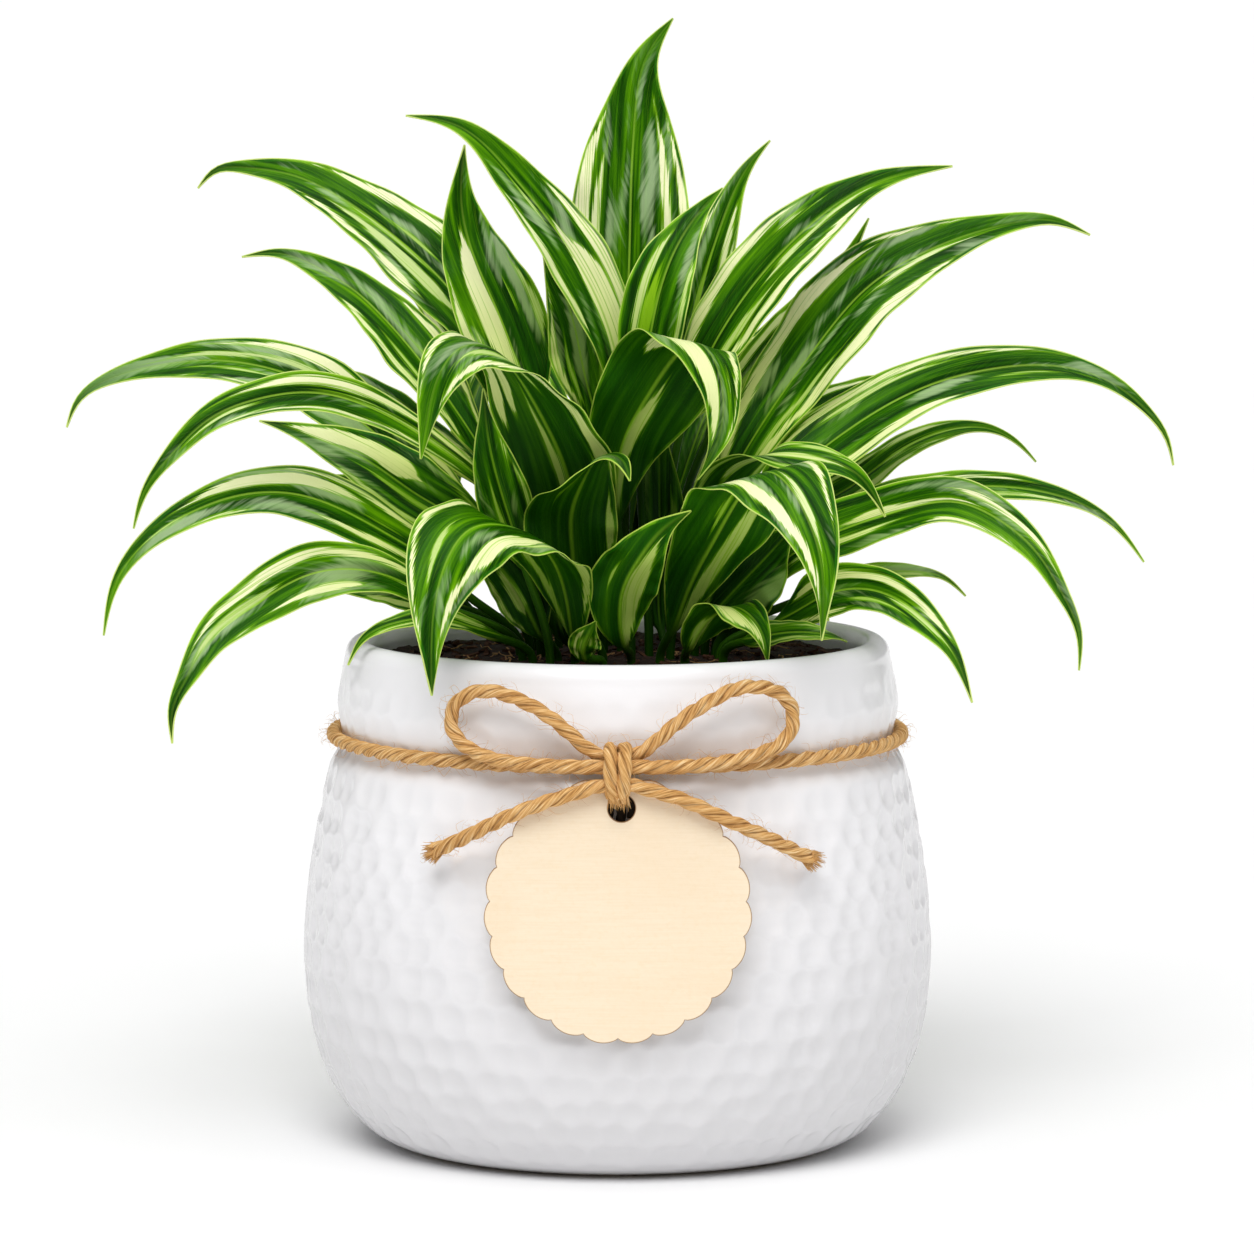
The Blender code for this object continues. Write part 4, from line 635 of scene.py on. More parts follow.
class Shader:
    """Short names for the nodes of one material. A value is a number, a colour or a node's output."""

    def __init__(self, name):
        self.material = bpy.data.materials.new(name)
        self.material.use_nodes = True
        self.tree = self.material.node_tree

    def fill(self, socket, value):
        if isinstance(value, bpy.types.NodeSocket):
            self.tree.links.new(value, socket)
        else:
            socket.default_value = value

    def node(self, kind, inputs, **settings):
        made = self.tree.nodes.new(kind)
        for name, value in settings.items():
            setattr(made, name, value)
        for socket, value in inputs.items():
            self.fill(made.inputs[socket], value)
        return made

    def math(self, operation, *values):
        return self.node("ShaderNodeMath", dict(enumerate(values)), operation=operation).outputs[0]

    def plus(self, first, second):
        return self.math("ADD", first, second)

    def minus(self, first, second):
        return self.math("SUBTRACT", first, second)

    def times(self, *values):
        product = values[0]
        for value in values[1:]:
            product = self.math("MULTIPLY", product, value)
        return product

    def size(self, value):
        return self.math("ABSOLUTE", value)

    def sway(self, noise_value, amount, middle=0.0):
        """A noise turned into a sway of so much about a middle."""
        return self.math("MULTIPLY_ADD", self.minus(noise_value, 0.5), amount, middle)

    def smooth(self, value, low, high, bottom=0.0, top=1.0):
        """Bottom where the value is at low, top where it is at high, eased between."""
        inputs = {"Value": value, "From Min": low, "From Max": high, "To Min": bottom, "To Max": top}
        return self.node("ShaderNodeMapRange", inputs, interpolation_type="SMOOTHSTEP").outputs["Result"]

    def mix(self, factor, first, second, blend="MIX"):
        """The first colour where the factor is 0, the second where it is 1."""
        made = self.node("ShaderNodeMix", {"Factor": factor}, data_type="RGBA", blend_type=blend)
        for socket, value in zip([s for s in made.inputs if s.type == "RGBA"], (first, second)):
            self.fill(socket, value)
        return [s for s in made.outputs if s.type == "RGBA"][0]

    def vector(self, x, y, z):
        return self.node("ShaderNodeCombineXYZ", {"X": x, "Y": y, "Z": z}).outputs[0]

    def parts(self, vector):
        return self.node("ShaderNodeSeparateXYZ", {"Vector": vector}).outputs

    def scaled(self, vector, factors):
        return self.node("ShaderNodeVectorMath", {0: vector, 1: factors}, operation="MULTIPLY").outputs[0]

    def noise(self, vector, scale, detail=2.0, roughness=0.5):
        inputs = {"Vector": vector, "Scale": scale, "Detail": detail, "Roughness": roughness}
        return self.node("ShaderNodeTexNoise", inputs).outputs["Fac"]

    def attribute(self, name):
        return self.node("ShaderNodeAttribute", {}, attribute_name=name).outputs

    def place(self):
        return self.node("ShaderNodeTexCoord", {}).outputs["Object"]

    def ramp(self, factor, stops):
        """A colour that runs through the stops, each a position and a colour."""
        made = self.node("ShaderNodeValToRGB", {"Fac": factor})
        elements = made.color_ramp.elements
        while len(elements) < len(stops):
            elements.new(0.5)
        for element, (position, colour) in zip(elements, stops):
            element.position = position
            element.color = colour
        return made.outputs["Color"]

    def bump(self, height, distance, strength):
        inputs = {"Height": height, "Distance": distance, "Strength": strength}
        return self.node("ShaderNodeBump", inputs).outputs["Normal"]

    def finish(self, colour, roughness, specular, normal=None):
        sockets = self.tree.nodes["Principled BSDF"].inputs
        sockets["Specular IOR Level"].default_value = specular
        self.fill(sockets["Base Color"], colour)
        self.fill(sockets["Roughness"], roughness)
        if normal is not None:
            self.fill(sockets["Normal"], normal)
        return self.material


def add_camera():
    data = bpy.data.cameras.new("camera")
    data.lens = CAMERA_LENS
    data.sensor_width = CAMERA_SENSOR
    data.clip_start, data.clip_end = CAMERA_CLIP
    camera = bpy.data.objects.new("camera", data)
    camera.location = CAMERA_PLACE
    camera.rotation_euler = (math.pi / 2 - CAMERA_DOWN, 0, 0)
    bpy.context.scene.collection.objects.link(camera)
    bpy.context.scene.camera = camera


def jute_material():
    """Twisted plant fibre: fine streaks along each strand, with painted shade dark in the grooves between
    strands.
    """
    shader = Shader("jute")
    along_strand = shader.scaled(shader.attribute("fibre")["Vector"], (2.6, 2.6, 0.16))
    streaks = shader.noise(along_strand, 1.0, 3.0, 0.6)
    colour = shader.ramp(streaks, [(0.28, tone(134, 86, 38)), (0.43, tone(200, 148, 84)),
                                   (0.55, tone(230, 184, 120)), (0.68, tone(250, 222, 172))])
    dull = shader.smooth(shader.noise(shader.place(), 130.0), 0.35, 0.7, 0.0, 0.3)
    colour = shader.mix(dull, colour, tone(206, 154, 94))
    from_axis = shader.attribute("core")["Fac"]
    # Painted shade: darker brown towards the rope's axis, in the grooves between strands.
    colour = shader.mix(shader.smooth(from_axis, 0.5, 0.86), tone(96, 56, 20), colour)
    # Painted shade: near-black where the axis value was lowered, on the strands behind the tag's hole.
    colour = shader.mix(shader.smooth(from_axis, 0.32, 0.46), tone(34, 22, 8), colour)
    return shader.finish(colour, 0.82, 0.25, shader.bump(shader.times(streaks, 0.8), 0.0004, 0.9))


def carried_frames(path):
    """Tangent, normal and binormal along a path, turned as little as possible from point to point."""
    tangents = unit(np.gradient(path, axis=0))
    spare = np.array((0.0, 0.0, 1.0)) if abs(tangents[0, 2]) < 0.8 else np.array((0.0, 1.0, 0.0))
    normal = unit(np.cross(tangents[0], spare))
    normals = []
    for tangent in tangents:
        normal = unit(normal - np.dot(normal, tangent) * tangent)
        normals.append(normal)
    normals = np.array(normals)
    return tangents, normals, np.cross(tangents, normals)


def add_rope(builder, path, radius, lay=TWINE_LAY, start_turn=0.0, flare=0.0, painted_shade_scale=1.0):
    """Strands laid round the path; flare opens the last few millimetres, and a low value of the last argument
    paints shade on it, down to near-black.
    """
    _, normals, binormals = carried_frames(path)
    along = lengths_along(path)
    opening = 1 + flare * smoothstep(along, along[-1] - FLARE_LENGTH, along[-1])
    around = even_turns(STRAND_SIDES)
    for strand in range(STRANDS):
        turn = start_turn + 2 * np.pi * (strand / STRANDS - along / lay)
        out = np.cos(turn)[:, None] * normals + np.sin(turn)[:, None] * binormals
        beside = -np.sin(turn)[:, None] * normals + np.cos(turn)[:, None] * binormals
        centres = path + (STRAND_OFFSET_SHARE * radius * opening)[:, None] * out
        swell = 1 + STRAND_SWELL * np.sin(along * STRAND_SWELL_RATE + strand)
        rings = tube_rings(centres, STRAND_RADIUS_SHARE * radius * swell, out, beside, STRAND_SIDES)
        from_axis = np.linalg.norm(rings - path[:, None, :], axis=2) / radius
        fibre = point_values(rings.shape[:2], np.cos(around) + STRAND_STREAK_SHIFT * strand, np.sin(around),
                             along[:, None])
        # Lowering this value paints the strands as deep shade in the jute material.
        core = painted_shade_scale * from_axis.reshape(-1, 1)
        builder.add(rings, tube_faces(len(path), STRAND_SIDES), fibre=fibre, core=core)


def add_thread(builder, points, radii, sides, **values):
    """One thin round thread through the points."""
    points = np.asarray(points)
    _, normals, binormals = carried_frames(points)
    rings = tube_rings(points, radii, normals, binormals, sides)
    builder.add(rings, tube_faces(len(points), sides), **values)


def add_fibre(builder, points, radius, tint):
    """One loose fibre: a tapering hair."""
    radii = radius * np.linspace(1, FIBRE_TIP_SHARE, len(points))
    add_thread(builder, points, radii, FIBRE_SIDES, fibre=(tint, 0.0, 0.0), core=1.0)


def add_fuzz(builder, path, radius, per_mm, seed, clear_of=None):
    """Loose fibres that stand off a rope and curl back."""
    source = random.Random(seed)
    tangents, normals, binormals = carried_frames(path)
    for _ in range(round(float(path_steps(path).sum()) * per_mm)):
        i = source.randrange(len(path))
        turn = source.uniform(0, 2 * math.pi)
        out = math.cos(turn) * normals[i] + math.sin(turn) * binormals[i]
        beside = np.cross(out, tangents[i])
        heading = unit(out * source.uniform(0.3, 1.0) + tangents[i] * source.uniform(-1.2, 1.2)
                       + beside * source.uniform(-0.5, 0.5))
        bend = unit(tangents[i] * source.uniform(-1, 1) - out * source.uniform(0, 1)
                    + beside * source.uniform(-1, 1))
        length = source.uniform(*FUZZ_LENGTHS)
        place = path[i] + out * radius * FUZZ_FROM
        points = [place]
        for _ in range(FUZZ_STEPS):
            heading = unit(heading + FUZZ_BEND * bend)
            place = place + heading * length / FUZZ_STEPS
            nearest = path[np.argmin(np.linalg.norm(path - place, axis=1))]
            away = place - nearest
            distance = np.linalg.norm(away)
            if distance > FUZZ_REACH:
                place = nearest + away * FUZZ_REACH / distance
            points.append(place)
        if clear_of is None or all(clear_of(point) for point in points):
            add_fibre(builder, points, source.uniform(*FUZZ_RADII), source.uniform(*FIBRE_TINTS))


def add_frayed_end(builder, path, radius, count, seed):
    """A brush of short fibres at the cut end of a rope."""
    source = random.Random(seed)
    tangents, normals, binormals = carried_frames(path)
    end, ahead = path[-1], tangents[-1]
    for _ in range(count):
        turn = source.uniform(0, 2 * math.pi)
        away = radius * math.sqrt(source.random()) * FRAY_SPREAD
        out = math.cos(turn) * normals[-1] + math.sin(turn) * binormals[-1]
        start = end + out * away * FRAY_FROM - ahead * FRAY_BACK
        heading = unit(out * FRAY_SPLAY * away / radius + ahead)
        length = source.uniform(*FRAY_LENGTHS)
        points = [start + heading * length * step / FRAY_STEPS + out * FRAY_CURL * (step / FRAY_STEPS) ** 2
                  for step in range(FRAY_STEPS + 1)]
        add_fibre(builder, points, source.uniform(*FRAY_RADII), source.uniform(*FIBRE_TINTS))


# The pot's outer line from the foot to the start of the lip: radius and height.
POT_LINE, POT_LINE_ALONG, _ = spline_points(POT_BELLY + POT_COLLAR)


def outside_pot(point):
    """True where a point lies clear of the pot's side near the band."""
    pot_radius = float(np.interp(point[2], POT_LINE[:, 1], POT_LINE[:, 0]))
    return math.hypot(point[0], point[1]) > pot_radius + FUZZ_CLEARANCE


def build_free_twine(part, route, far_end, jute, seed):
    """A loop or a tail of the bow, which hangs free."""
    path = even_path(route, TWINE_STEP)
    cut = far_end == "bare"
    builder = Builder()
    add_rope(builder, path, TWINE_RADIUS, start_turn=seed, flare=CUT_END_FLARE if cut else 0.0)
    add_fuzz(builder, path, TWINE_RADIUS, FUZZ_PER_MM, seed, outside_pot)
    if cut:
        add_frayed_end(builder, path, TWINE_RADIUS, FRAY_COUNT, seed + 1)
    piece = builder.finish(f"rope_{part}", [jute], "jute", f"twine_{part}")


def build_band(jute):
    """The turn round the pot's neck, whose ends go in behind the knot."""
    radius = POT_NECK_RADIUS + GAP + TWINE_RADIUS
    start = math.asin(BAND_END_ASIDE / radius)
    count = round(2 * math.pi * radius / BAND_STEP)
    angles = np.linspace(-math.pi / 2 + start, 1.5 * math.pi - start, count)
    path = np.column_stack([radius * np.cos(angles), radius * np.sin(angles), np.full(count, BAND_HEIGHT)])
    band = Builder()
    add_rope(band, path, TWINE_RADIUS)
    add_fuzz(band, path, TWINE_RADIUS, BAND_FUZZ_PER_MM, 21, outside_pot)
    band.finish("rope_band", [jute], "jute", "twine_band")


def build_knot(jute):
    """The knot's two turns, with the strands that go through the tag's hole and up behind it."""
    knot = Builder()
    for number, route in enumerate(KNOT_TURNS):
        path = even_path(route, TWINE_STEP)
        add_rope(knot, path, TWINE_RADIUS, start_turn=1.1 * number)
        add_fuzz(knot, path, TWINE_RADIUS, KNOT_FUZZ_PER_MM, 31 + number)
    for number, route in enumerate(TIE_ENDS):
        path = even_path(route, TWINE_STEP)
        add_rope(knot, path, TIE_RADIUS, lay=TIE_LAY, start_turn=2.0 * number)
        add_frayed_end(knot, path, TIE_RADIUS, TIE_FRAY_COUNT, 41 + number)
    # The strands behind the tag's hole, painted near-black as shade so that the hole looks dark.
    for route in TIE_BEHIND:
        add_rope(knot, even_path(route, TWINE_STEP), TIE_RADIUS, lay=TIE_LAY, painted_shade_scale=TIE_PAINTED_SHADE_SCALE)
    knot.finish("rope_knot", [jute], "jute", "twine_knot")


def build_twine():
    jute = jute_material()
    build_free_twine("loop_left", LOOP_LEFT, "object", jute, 11)
    build_free_twine("loop_right", LOOP_RIGHT, "object", jute, 12)
    build_free_twine("tail_left", TAIL_LEFT, "bare", jute, 13)
    build_free_twine("tail_right", TAIL_RIGHT, "bare", jute, 14)
    build_band(jute)
    build_knot(jute)


def glaze_material():
    """Thick white glaze over a pale body that shows only at the foot ring, with painted shade that greys it
    towards the bottom.
    """
    shader = Shader("white glaze")
    place = shader.place()
    height = shader.parts(place)["Z"]
    # Painted shade: the glaze is greyer towards the bottom and whiter towards the top.
    colour = shader.mix(shader.smooth(height, 0.01, 0.12), tone(224, 223, 225), tone(245, 244, 246))
    uneven_height = shader.plus(height, shader.times(shader.noise(place, 18.0, 3.0), 0.0006))
    glazed = shader.smooth(uneven_height, 0.0008, 0.0016)
    colour = shader.mix(glazed, tone(206, 190, 168), colour)
    roughness = shader.smooth(glazed, 0.0, 1.0, 0.7, 0.17)
    peel = shader.bump(shader.noise(place, 240.0), 0.00006, 0.5)
    return shader.finish(colour, roughness, 0.5, peel)


def cell_press(angle, along, radius):
    """How far the surface is pressed in by shallow round-bottomed cells, each next to its neighbours."""
    row = np.floor(along / CELL_ROW_STEP)
    column_width = 2 * np.pi / CELLS_AROUND
    pile = 0
    for cell_row in (row + shift for shift in CELL_NEIGHBOURS):
        stagger = 0.5 * (cell_row % 2)
        column = np.floor(angle / column_width - stagger)
        for cell_column in (column + shift for shift in CELL_NEIGHBOURS):
            # An uneven number of each cell's own moves it a little from its even place.
            key = cell_row * 57.0 + (cell_column % CELLS_AROUND) * 131.0
            aside = CELL_JITTER * np.sin(key * 1.37 + 0.4)
            up = CELL_JITTER * np.sin(key * 2.11 + 1.9)
            across = (angle - (cell_column + stagger + aside) * column_width) * radius
            upward = along - (cell_row + up) * CELL_ROW_STEP
            pile = pile + np.exp(-CELL_SOFTNESS * (across ** 2 + upward ** 2))
    nearest = -np.log(pile + 1e-12) / CELL_SOFTNESS
    return np.clip(CELL_DEPTH - nearest / (2 * CELL_CURVE_RADIUS), 0, CELL_DEPTH)


def turned(radii, heights, angles):
    """Rings of points round the pot's axis."""
    return np.stack([radii * np.cos(angles), radii * np.sin(angles), heights + 0 * angles], axis=2)


def build_pot():
    """The pot from the foot up its outside, over the lip and down its inside."""
    angles = even_turns(POT_SIDES)
    along = np.linspace(0, POT_LINE_ALONG[-1], round(POT_LINE_ALONG[-1] / POT_ROW_STEP))
    profile = at_lengths(POT_LINE, POT_LINE_ALONG, along)
    radii, heights = profile[:, :1], profile[:, 1:]
    strength = 1 - (1 - COLLAR_CELL_SHARE) * smoothstep(heights, *CELLS_AT_COLLAR)
    strength = strength * smoothstep(heights, *CELLS_AT_FOOT) * (1 - smoothstep(heights, *CELLS_AT_LIP))
    press = cell_press(angles, along[:, None], radii) * strength
    slope = unit(np.gradient(profile, axis=0))
    outer = turned(radii - press * slope[:, 1:], heights + press * slope[:, :1], angles)

    turn = np.linspace(0, np.pi, POT_LIP_STEPS + 1)[1:]
    lip = np.column_stack([POT_LIP_CENTRE[0] + POT_LIP_WIDTH * np.cos(turn),
                           POT_LIP_CENTRE[1] + POT_LIP_HEIGHT * np.sin(turn)])
    inner, inner_along, _ = spline_points(POT_INNER)
    inner = at_lengths(inner, inner_along, np.linspace(0, inner_along[-1], POT_INNER_ROWS))
    inside = np.concatenate([lip, inner])
    rows = np.concatenate([outer, turned(inside[:, :1], inside[:, 1:], angles)])
    builder = Builder()
    builder.add(rows, tube_faces(len(rows), POT_SIDES))
    builder.finish("glazed_pot", [glaze_material()], "glaze", "pot", POT_SHARP_ANGLE)


def soil_material():
    """Dark damp potting mix with bark and root bits of several browns."""
    shader = Shader("potting mix")
    place = shader.place()
    kind = shader.attribute("kind")["Fac"]
    fine = shader.noise(place, 900.0, 4.0, 0.7)
    broad = shader.noise(place, 160.0, 3.0, 0.6)
    earth = shader.mix(shader.smooth(fine, 0.35, 0.7), tone(15, 9, 5), tone(50, 32, 20))
    earth = shader.mix(shader.smooth(broad, 0.45, 0.7, 0.0, 0.6), earth, tone(40, 24, 14))
    bark = shader.mix(shader.smooth(broad, 0.3, 0.7), tone(76, 45, 25), tone(38, 22, 12))
    colour = shader.mix(shader.smooth(kind, 0.2, 0.6), earth, bark)
    colour = shader.mix(shader.smooth(kind, 1.2, 1.8), colour, tone(150, 116, 76))
    return shader.finish(colour, 0.9, 0.25, shader.bump(shader.plus(fine, broad), 0.0008, 0.9))


def soil_height(x, y):
    """The height of the rough soil, mounded in the middle."""
    grain = noise.fractal(Vector((x * SOIL_GRAIN_SCALE, y * SOIL_GRAIN_SCALE, 3.0)), 0.8, 2.1, 5)
    lump = noise.noise(Vector((x * SOIL_LUMP_SCALE, y * SOIL_LUMP_SCALE, 8.0)))
    mound = SOIL_MOUND * (1 - float(smoothstep(math.hypot(x, y), SOIL_MOUND_TOP, SOIL_MOUND_FOOT)))
    return SOIL_LEVEL + mound + SOIL_ROUGHNESS * (SOIL_GRAIN_SHARE * grain + SOIL_LUMP_SHARE * lump)


def random_spot(source, within):
    """A random place on the soil, within a share of its radius."""
    radius = SOIL_EDGE_RADIUS * math.sqrt(source.random()) * within
    angle = source.uniform(0, 2 * math.pi)
    return radius * math.cos(angle), radius * math.sin(angle)


def add_soil(builder):
    """The block of soil: its surface from the edge to the middle, and a flat floor."""
    rows = []
    for ring in range(SOIL_RING_COUNT):
        radius = SOIL_EDGE_RADIUS * (1 - ring / SOIL_RING_COUNT)
        places = []
        for i in range(SOIL_SIDES):
            angle = 2 * math.pi * i / SOIL_SIDES
            places.append((radius * math.cos(angle), radius * math.sin(angle)))
        if ring == 0:
            rows.append([(x, y, SOIL_FLOOR) for x, y in places])
        rows.append([(x, y, soil_height(x, y)) for x, y in places])
    builder.add(rows, tube_faces(len(rows), SOIL_SIDES), kind=0.0)


def add_chip(builder, source):
    """A flat uneven chip of bark that lies on the soil."""
    x, y = random_spot(source, CHIPS_WITHIN)
    size = np.array([source.uniform(*limits) for limits in CHIP_SIZES])
    angles = Vector((source.uniform(-CHIP_TILT, CHIP_TILT), source.uniform(-CHIP_TILT, CHIP_TILT),
                     source.uniform(0, CHIP_TURN)))
    corners = []
    for k in range(8):
        sign = np.array((k & 1, k >> 1 & 1, k >> 2 & 1)) - 0.5
        corners.append(sign * size * np.array([source.uniform(*CHIP_CORNER_SHARES) for _ in range(3)]))
    middle = np.array((x, y, soil_height(x, y) + CHIP_LIFT))
    builder.add(rotated(corners, angles) + middle, BOX_FACES, kind=1.0)


def add_root(builder, source):
    """A fine root that winds over the soil, left out where it would be very short."""
    x, y = random_spot(source, ROOTS_WITHIN)
    heading = source.uniform(0, 2 * math.pi)
    points = []
    for _ in range(ROOT_POINTS):
        points.append((x, y, soil_height(x, y) + source.uniform(*ROOT_LIFT)))
        heading += source.uniform(-ROOT_BEND, ROOT_BEND)
        x += ROOT_STEP * math.cos(heading)
        y += ROOT_STEP * math.sin(heading)
        if math.hypot(x, y) > SOIL_EDGE_RADIUS - ROOT_EDGE_GAP:
            break
    if len(points) >= ROOT_POINTS_LEAST:
        add_thread(builder, points, source.uniform(*ROOT_RADII), ROOT_SIDES, kind=2.0)


def build_soil():
    source = random.Random(5)
    builder = Builder()
    add_soil(builder)
    for _ in range(CHIP_COUNT):
        add_chip(builder, source)
    for _ in range(ROOT_COUNT):
        add_root(builder, source)
    builder.finish("potting_mix", [soil_material()], "soil", "soil", SOIL_SHARP_ANGLE)


def wood_material():
    """Pale plywood face with faint grain, browned beside the cut edge."""
    shader = Shader("pale birch")
    place = shader.place()
    mottled = shader.noise(shader.scaled(place, (1.0, 1.0, 1.3)), 620.0, 4.0, 0.6)
    grain = shader.noise(shader.scaled(place, (0.35, 1.0, 9.0)), 210.0, 3.0, 0.55)
    colour = shader.mix(shader.smooth(grain, 0.35, 0.7), tone(246, 228, 201), tone(243, 224, 195))
    colour = shader.mix(shader.smooth(mottled, 0.46, 0.74, 0.0, 0.32), colour, tone(240, 216, 178))
    cloud = shader.smooth(shader.noise(place, 30.0), 0.4, 0.7, 0.0, 0.35)
    colour = shader.mix(cloud, colour, tone(241, 217, 184))
    browned = shader.smooth(shader.attribute("edge")["Fac"], 0.3, 0.9, 0.0, 0.9)
    colour = shader.mix(browned, colour, tone(150, 108, 60))
    return shader.finish(colour, 0.68, 0.3, shader.bump(mottled, 0.00025, 0.5))


def cut_edge_material():
    """The browned layers of the plywood's cut edge."""
    shader = Shader("browned edge")
    layers = shader.noise(shader.scaled(shader.place(), (1.0, 14.0, 1.0)), 240.0)
    return shader.finish(shader.mix(shader.smooth(layers, 0.35, 0.65), tone(120, 80, 42), tone(168, 122, 72)),
                         0.75, 0.25)


def tag_outline(inset):
    """The scalloped edge: equal bulges that meet in sharp notches."""
    outline = []
    for scallop in range(TAG_SCALLOPS):
        for step in range(TAG_POINTS_EACH):
            share = step / TAG_POINTS_EACH
            angle = -math.pi / 2 + 2 * math.pi * (scallop + share) / TAG_SCALLOPS
            radius = TAG_RADIUS - inset - TAG_NOTCH * (1 - math.sin(math.pi * share) ** TAG_BULGE_POWER)
            outline.append((radius * math.cos(angle), radius * math.sin(angle)))
    return outline


def tag_hole(inset):
    """The round edge of the punched hole."""
    radius = TAG_HOLE_RADIUS + inset
    angles = [2 * math.pi * i / TAG_HOLE_SIDES for i in range(TAG_HOLE_SIDES)]
    return [(TAG_HOLE_ASIDE + radius * math.cos(angle), TAG_HOLE_UP + radius * math.sin(angle))
            for angle in angles]


def tag_place(outline, depth):
    """An outline of the tag at a depth in the plate, set where the leaning tag hangs."""
    local = np.array([(x, depth, z) for x, z in outline])
    return rotated(local, (-TAG_LEAN, 0, 0)) + np.array(TAG_CENTRE)


def add_tag_edge(builder, outline_at, outward):
    """The cut wall along an outline, and the eased and browned ring beside it on both faces."""
    half = TAG_THICKNESS / 2
    rings = [(0.0, half - TAG_EASED), (TAG_EASED, half), (TAG_BROWNED, half)]
    for side in (-1, 1):
        lines = [tag_place(outline_at(inset), side * depth) for inset, depth in rings]
        count = len(lines[0])
        faces = grid_faces(len(lines), count, True)
        builder.add(np.concatenate(lines), faces if (side == -1) == outward else flipped(faces),
                    edge=np.repeat((1.0, 0.85, 0.0), count)[:, None])
    wall = [tag_place(outline_at(0.0), side * (half - TAG_EASED)) for side in (-1, 1)]
    faces = grid_faces(2, len(wall[0]), True)
    builder.add(np.concatenate(wall), flipped(faces) if outward else faces, slot=1, edge=1.0)


def add_tag_face(builder, side):
    """The flat front or back of the plate, round its hole."""
    loops = [tag_outline(TAG_BROWNED), tag_hole(TAG_BROWNED)]
    flat = [[Vector((x, z, 0)) for x, z in loop] for loop in loops]
    triangles = [tuple(face) for face in tessellate_polygon(flat)]
    points = tag_place(loops[0] + loops[1], side * TAG_THICKNESS / 2)
    a, b, c = (points[i] for i in triangles[0])
    if np.cross(b - a, c - a)[1] * side < 0:
        triangles = flipped(triangles)
    builder.add(points, triangles, edge=0.0)


def build_tag():
    """A punched plate with eased edges, leaning back at the top."""
    builder = Builder()
    add_tag_edge(builder, tag_outline, True)
    add_tag_edge(builder, tag_hole, False)
    for side in (-1, 1):
        add_tag_face(builder, side)
    builder.finish("wooden_tag", [wood_material(), cut_edge_material()], "tag_wood", "tag", TAG_SHARP_ANGLE)


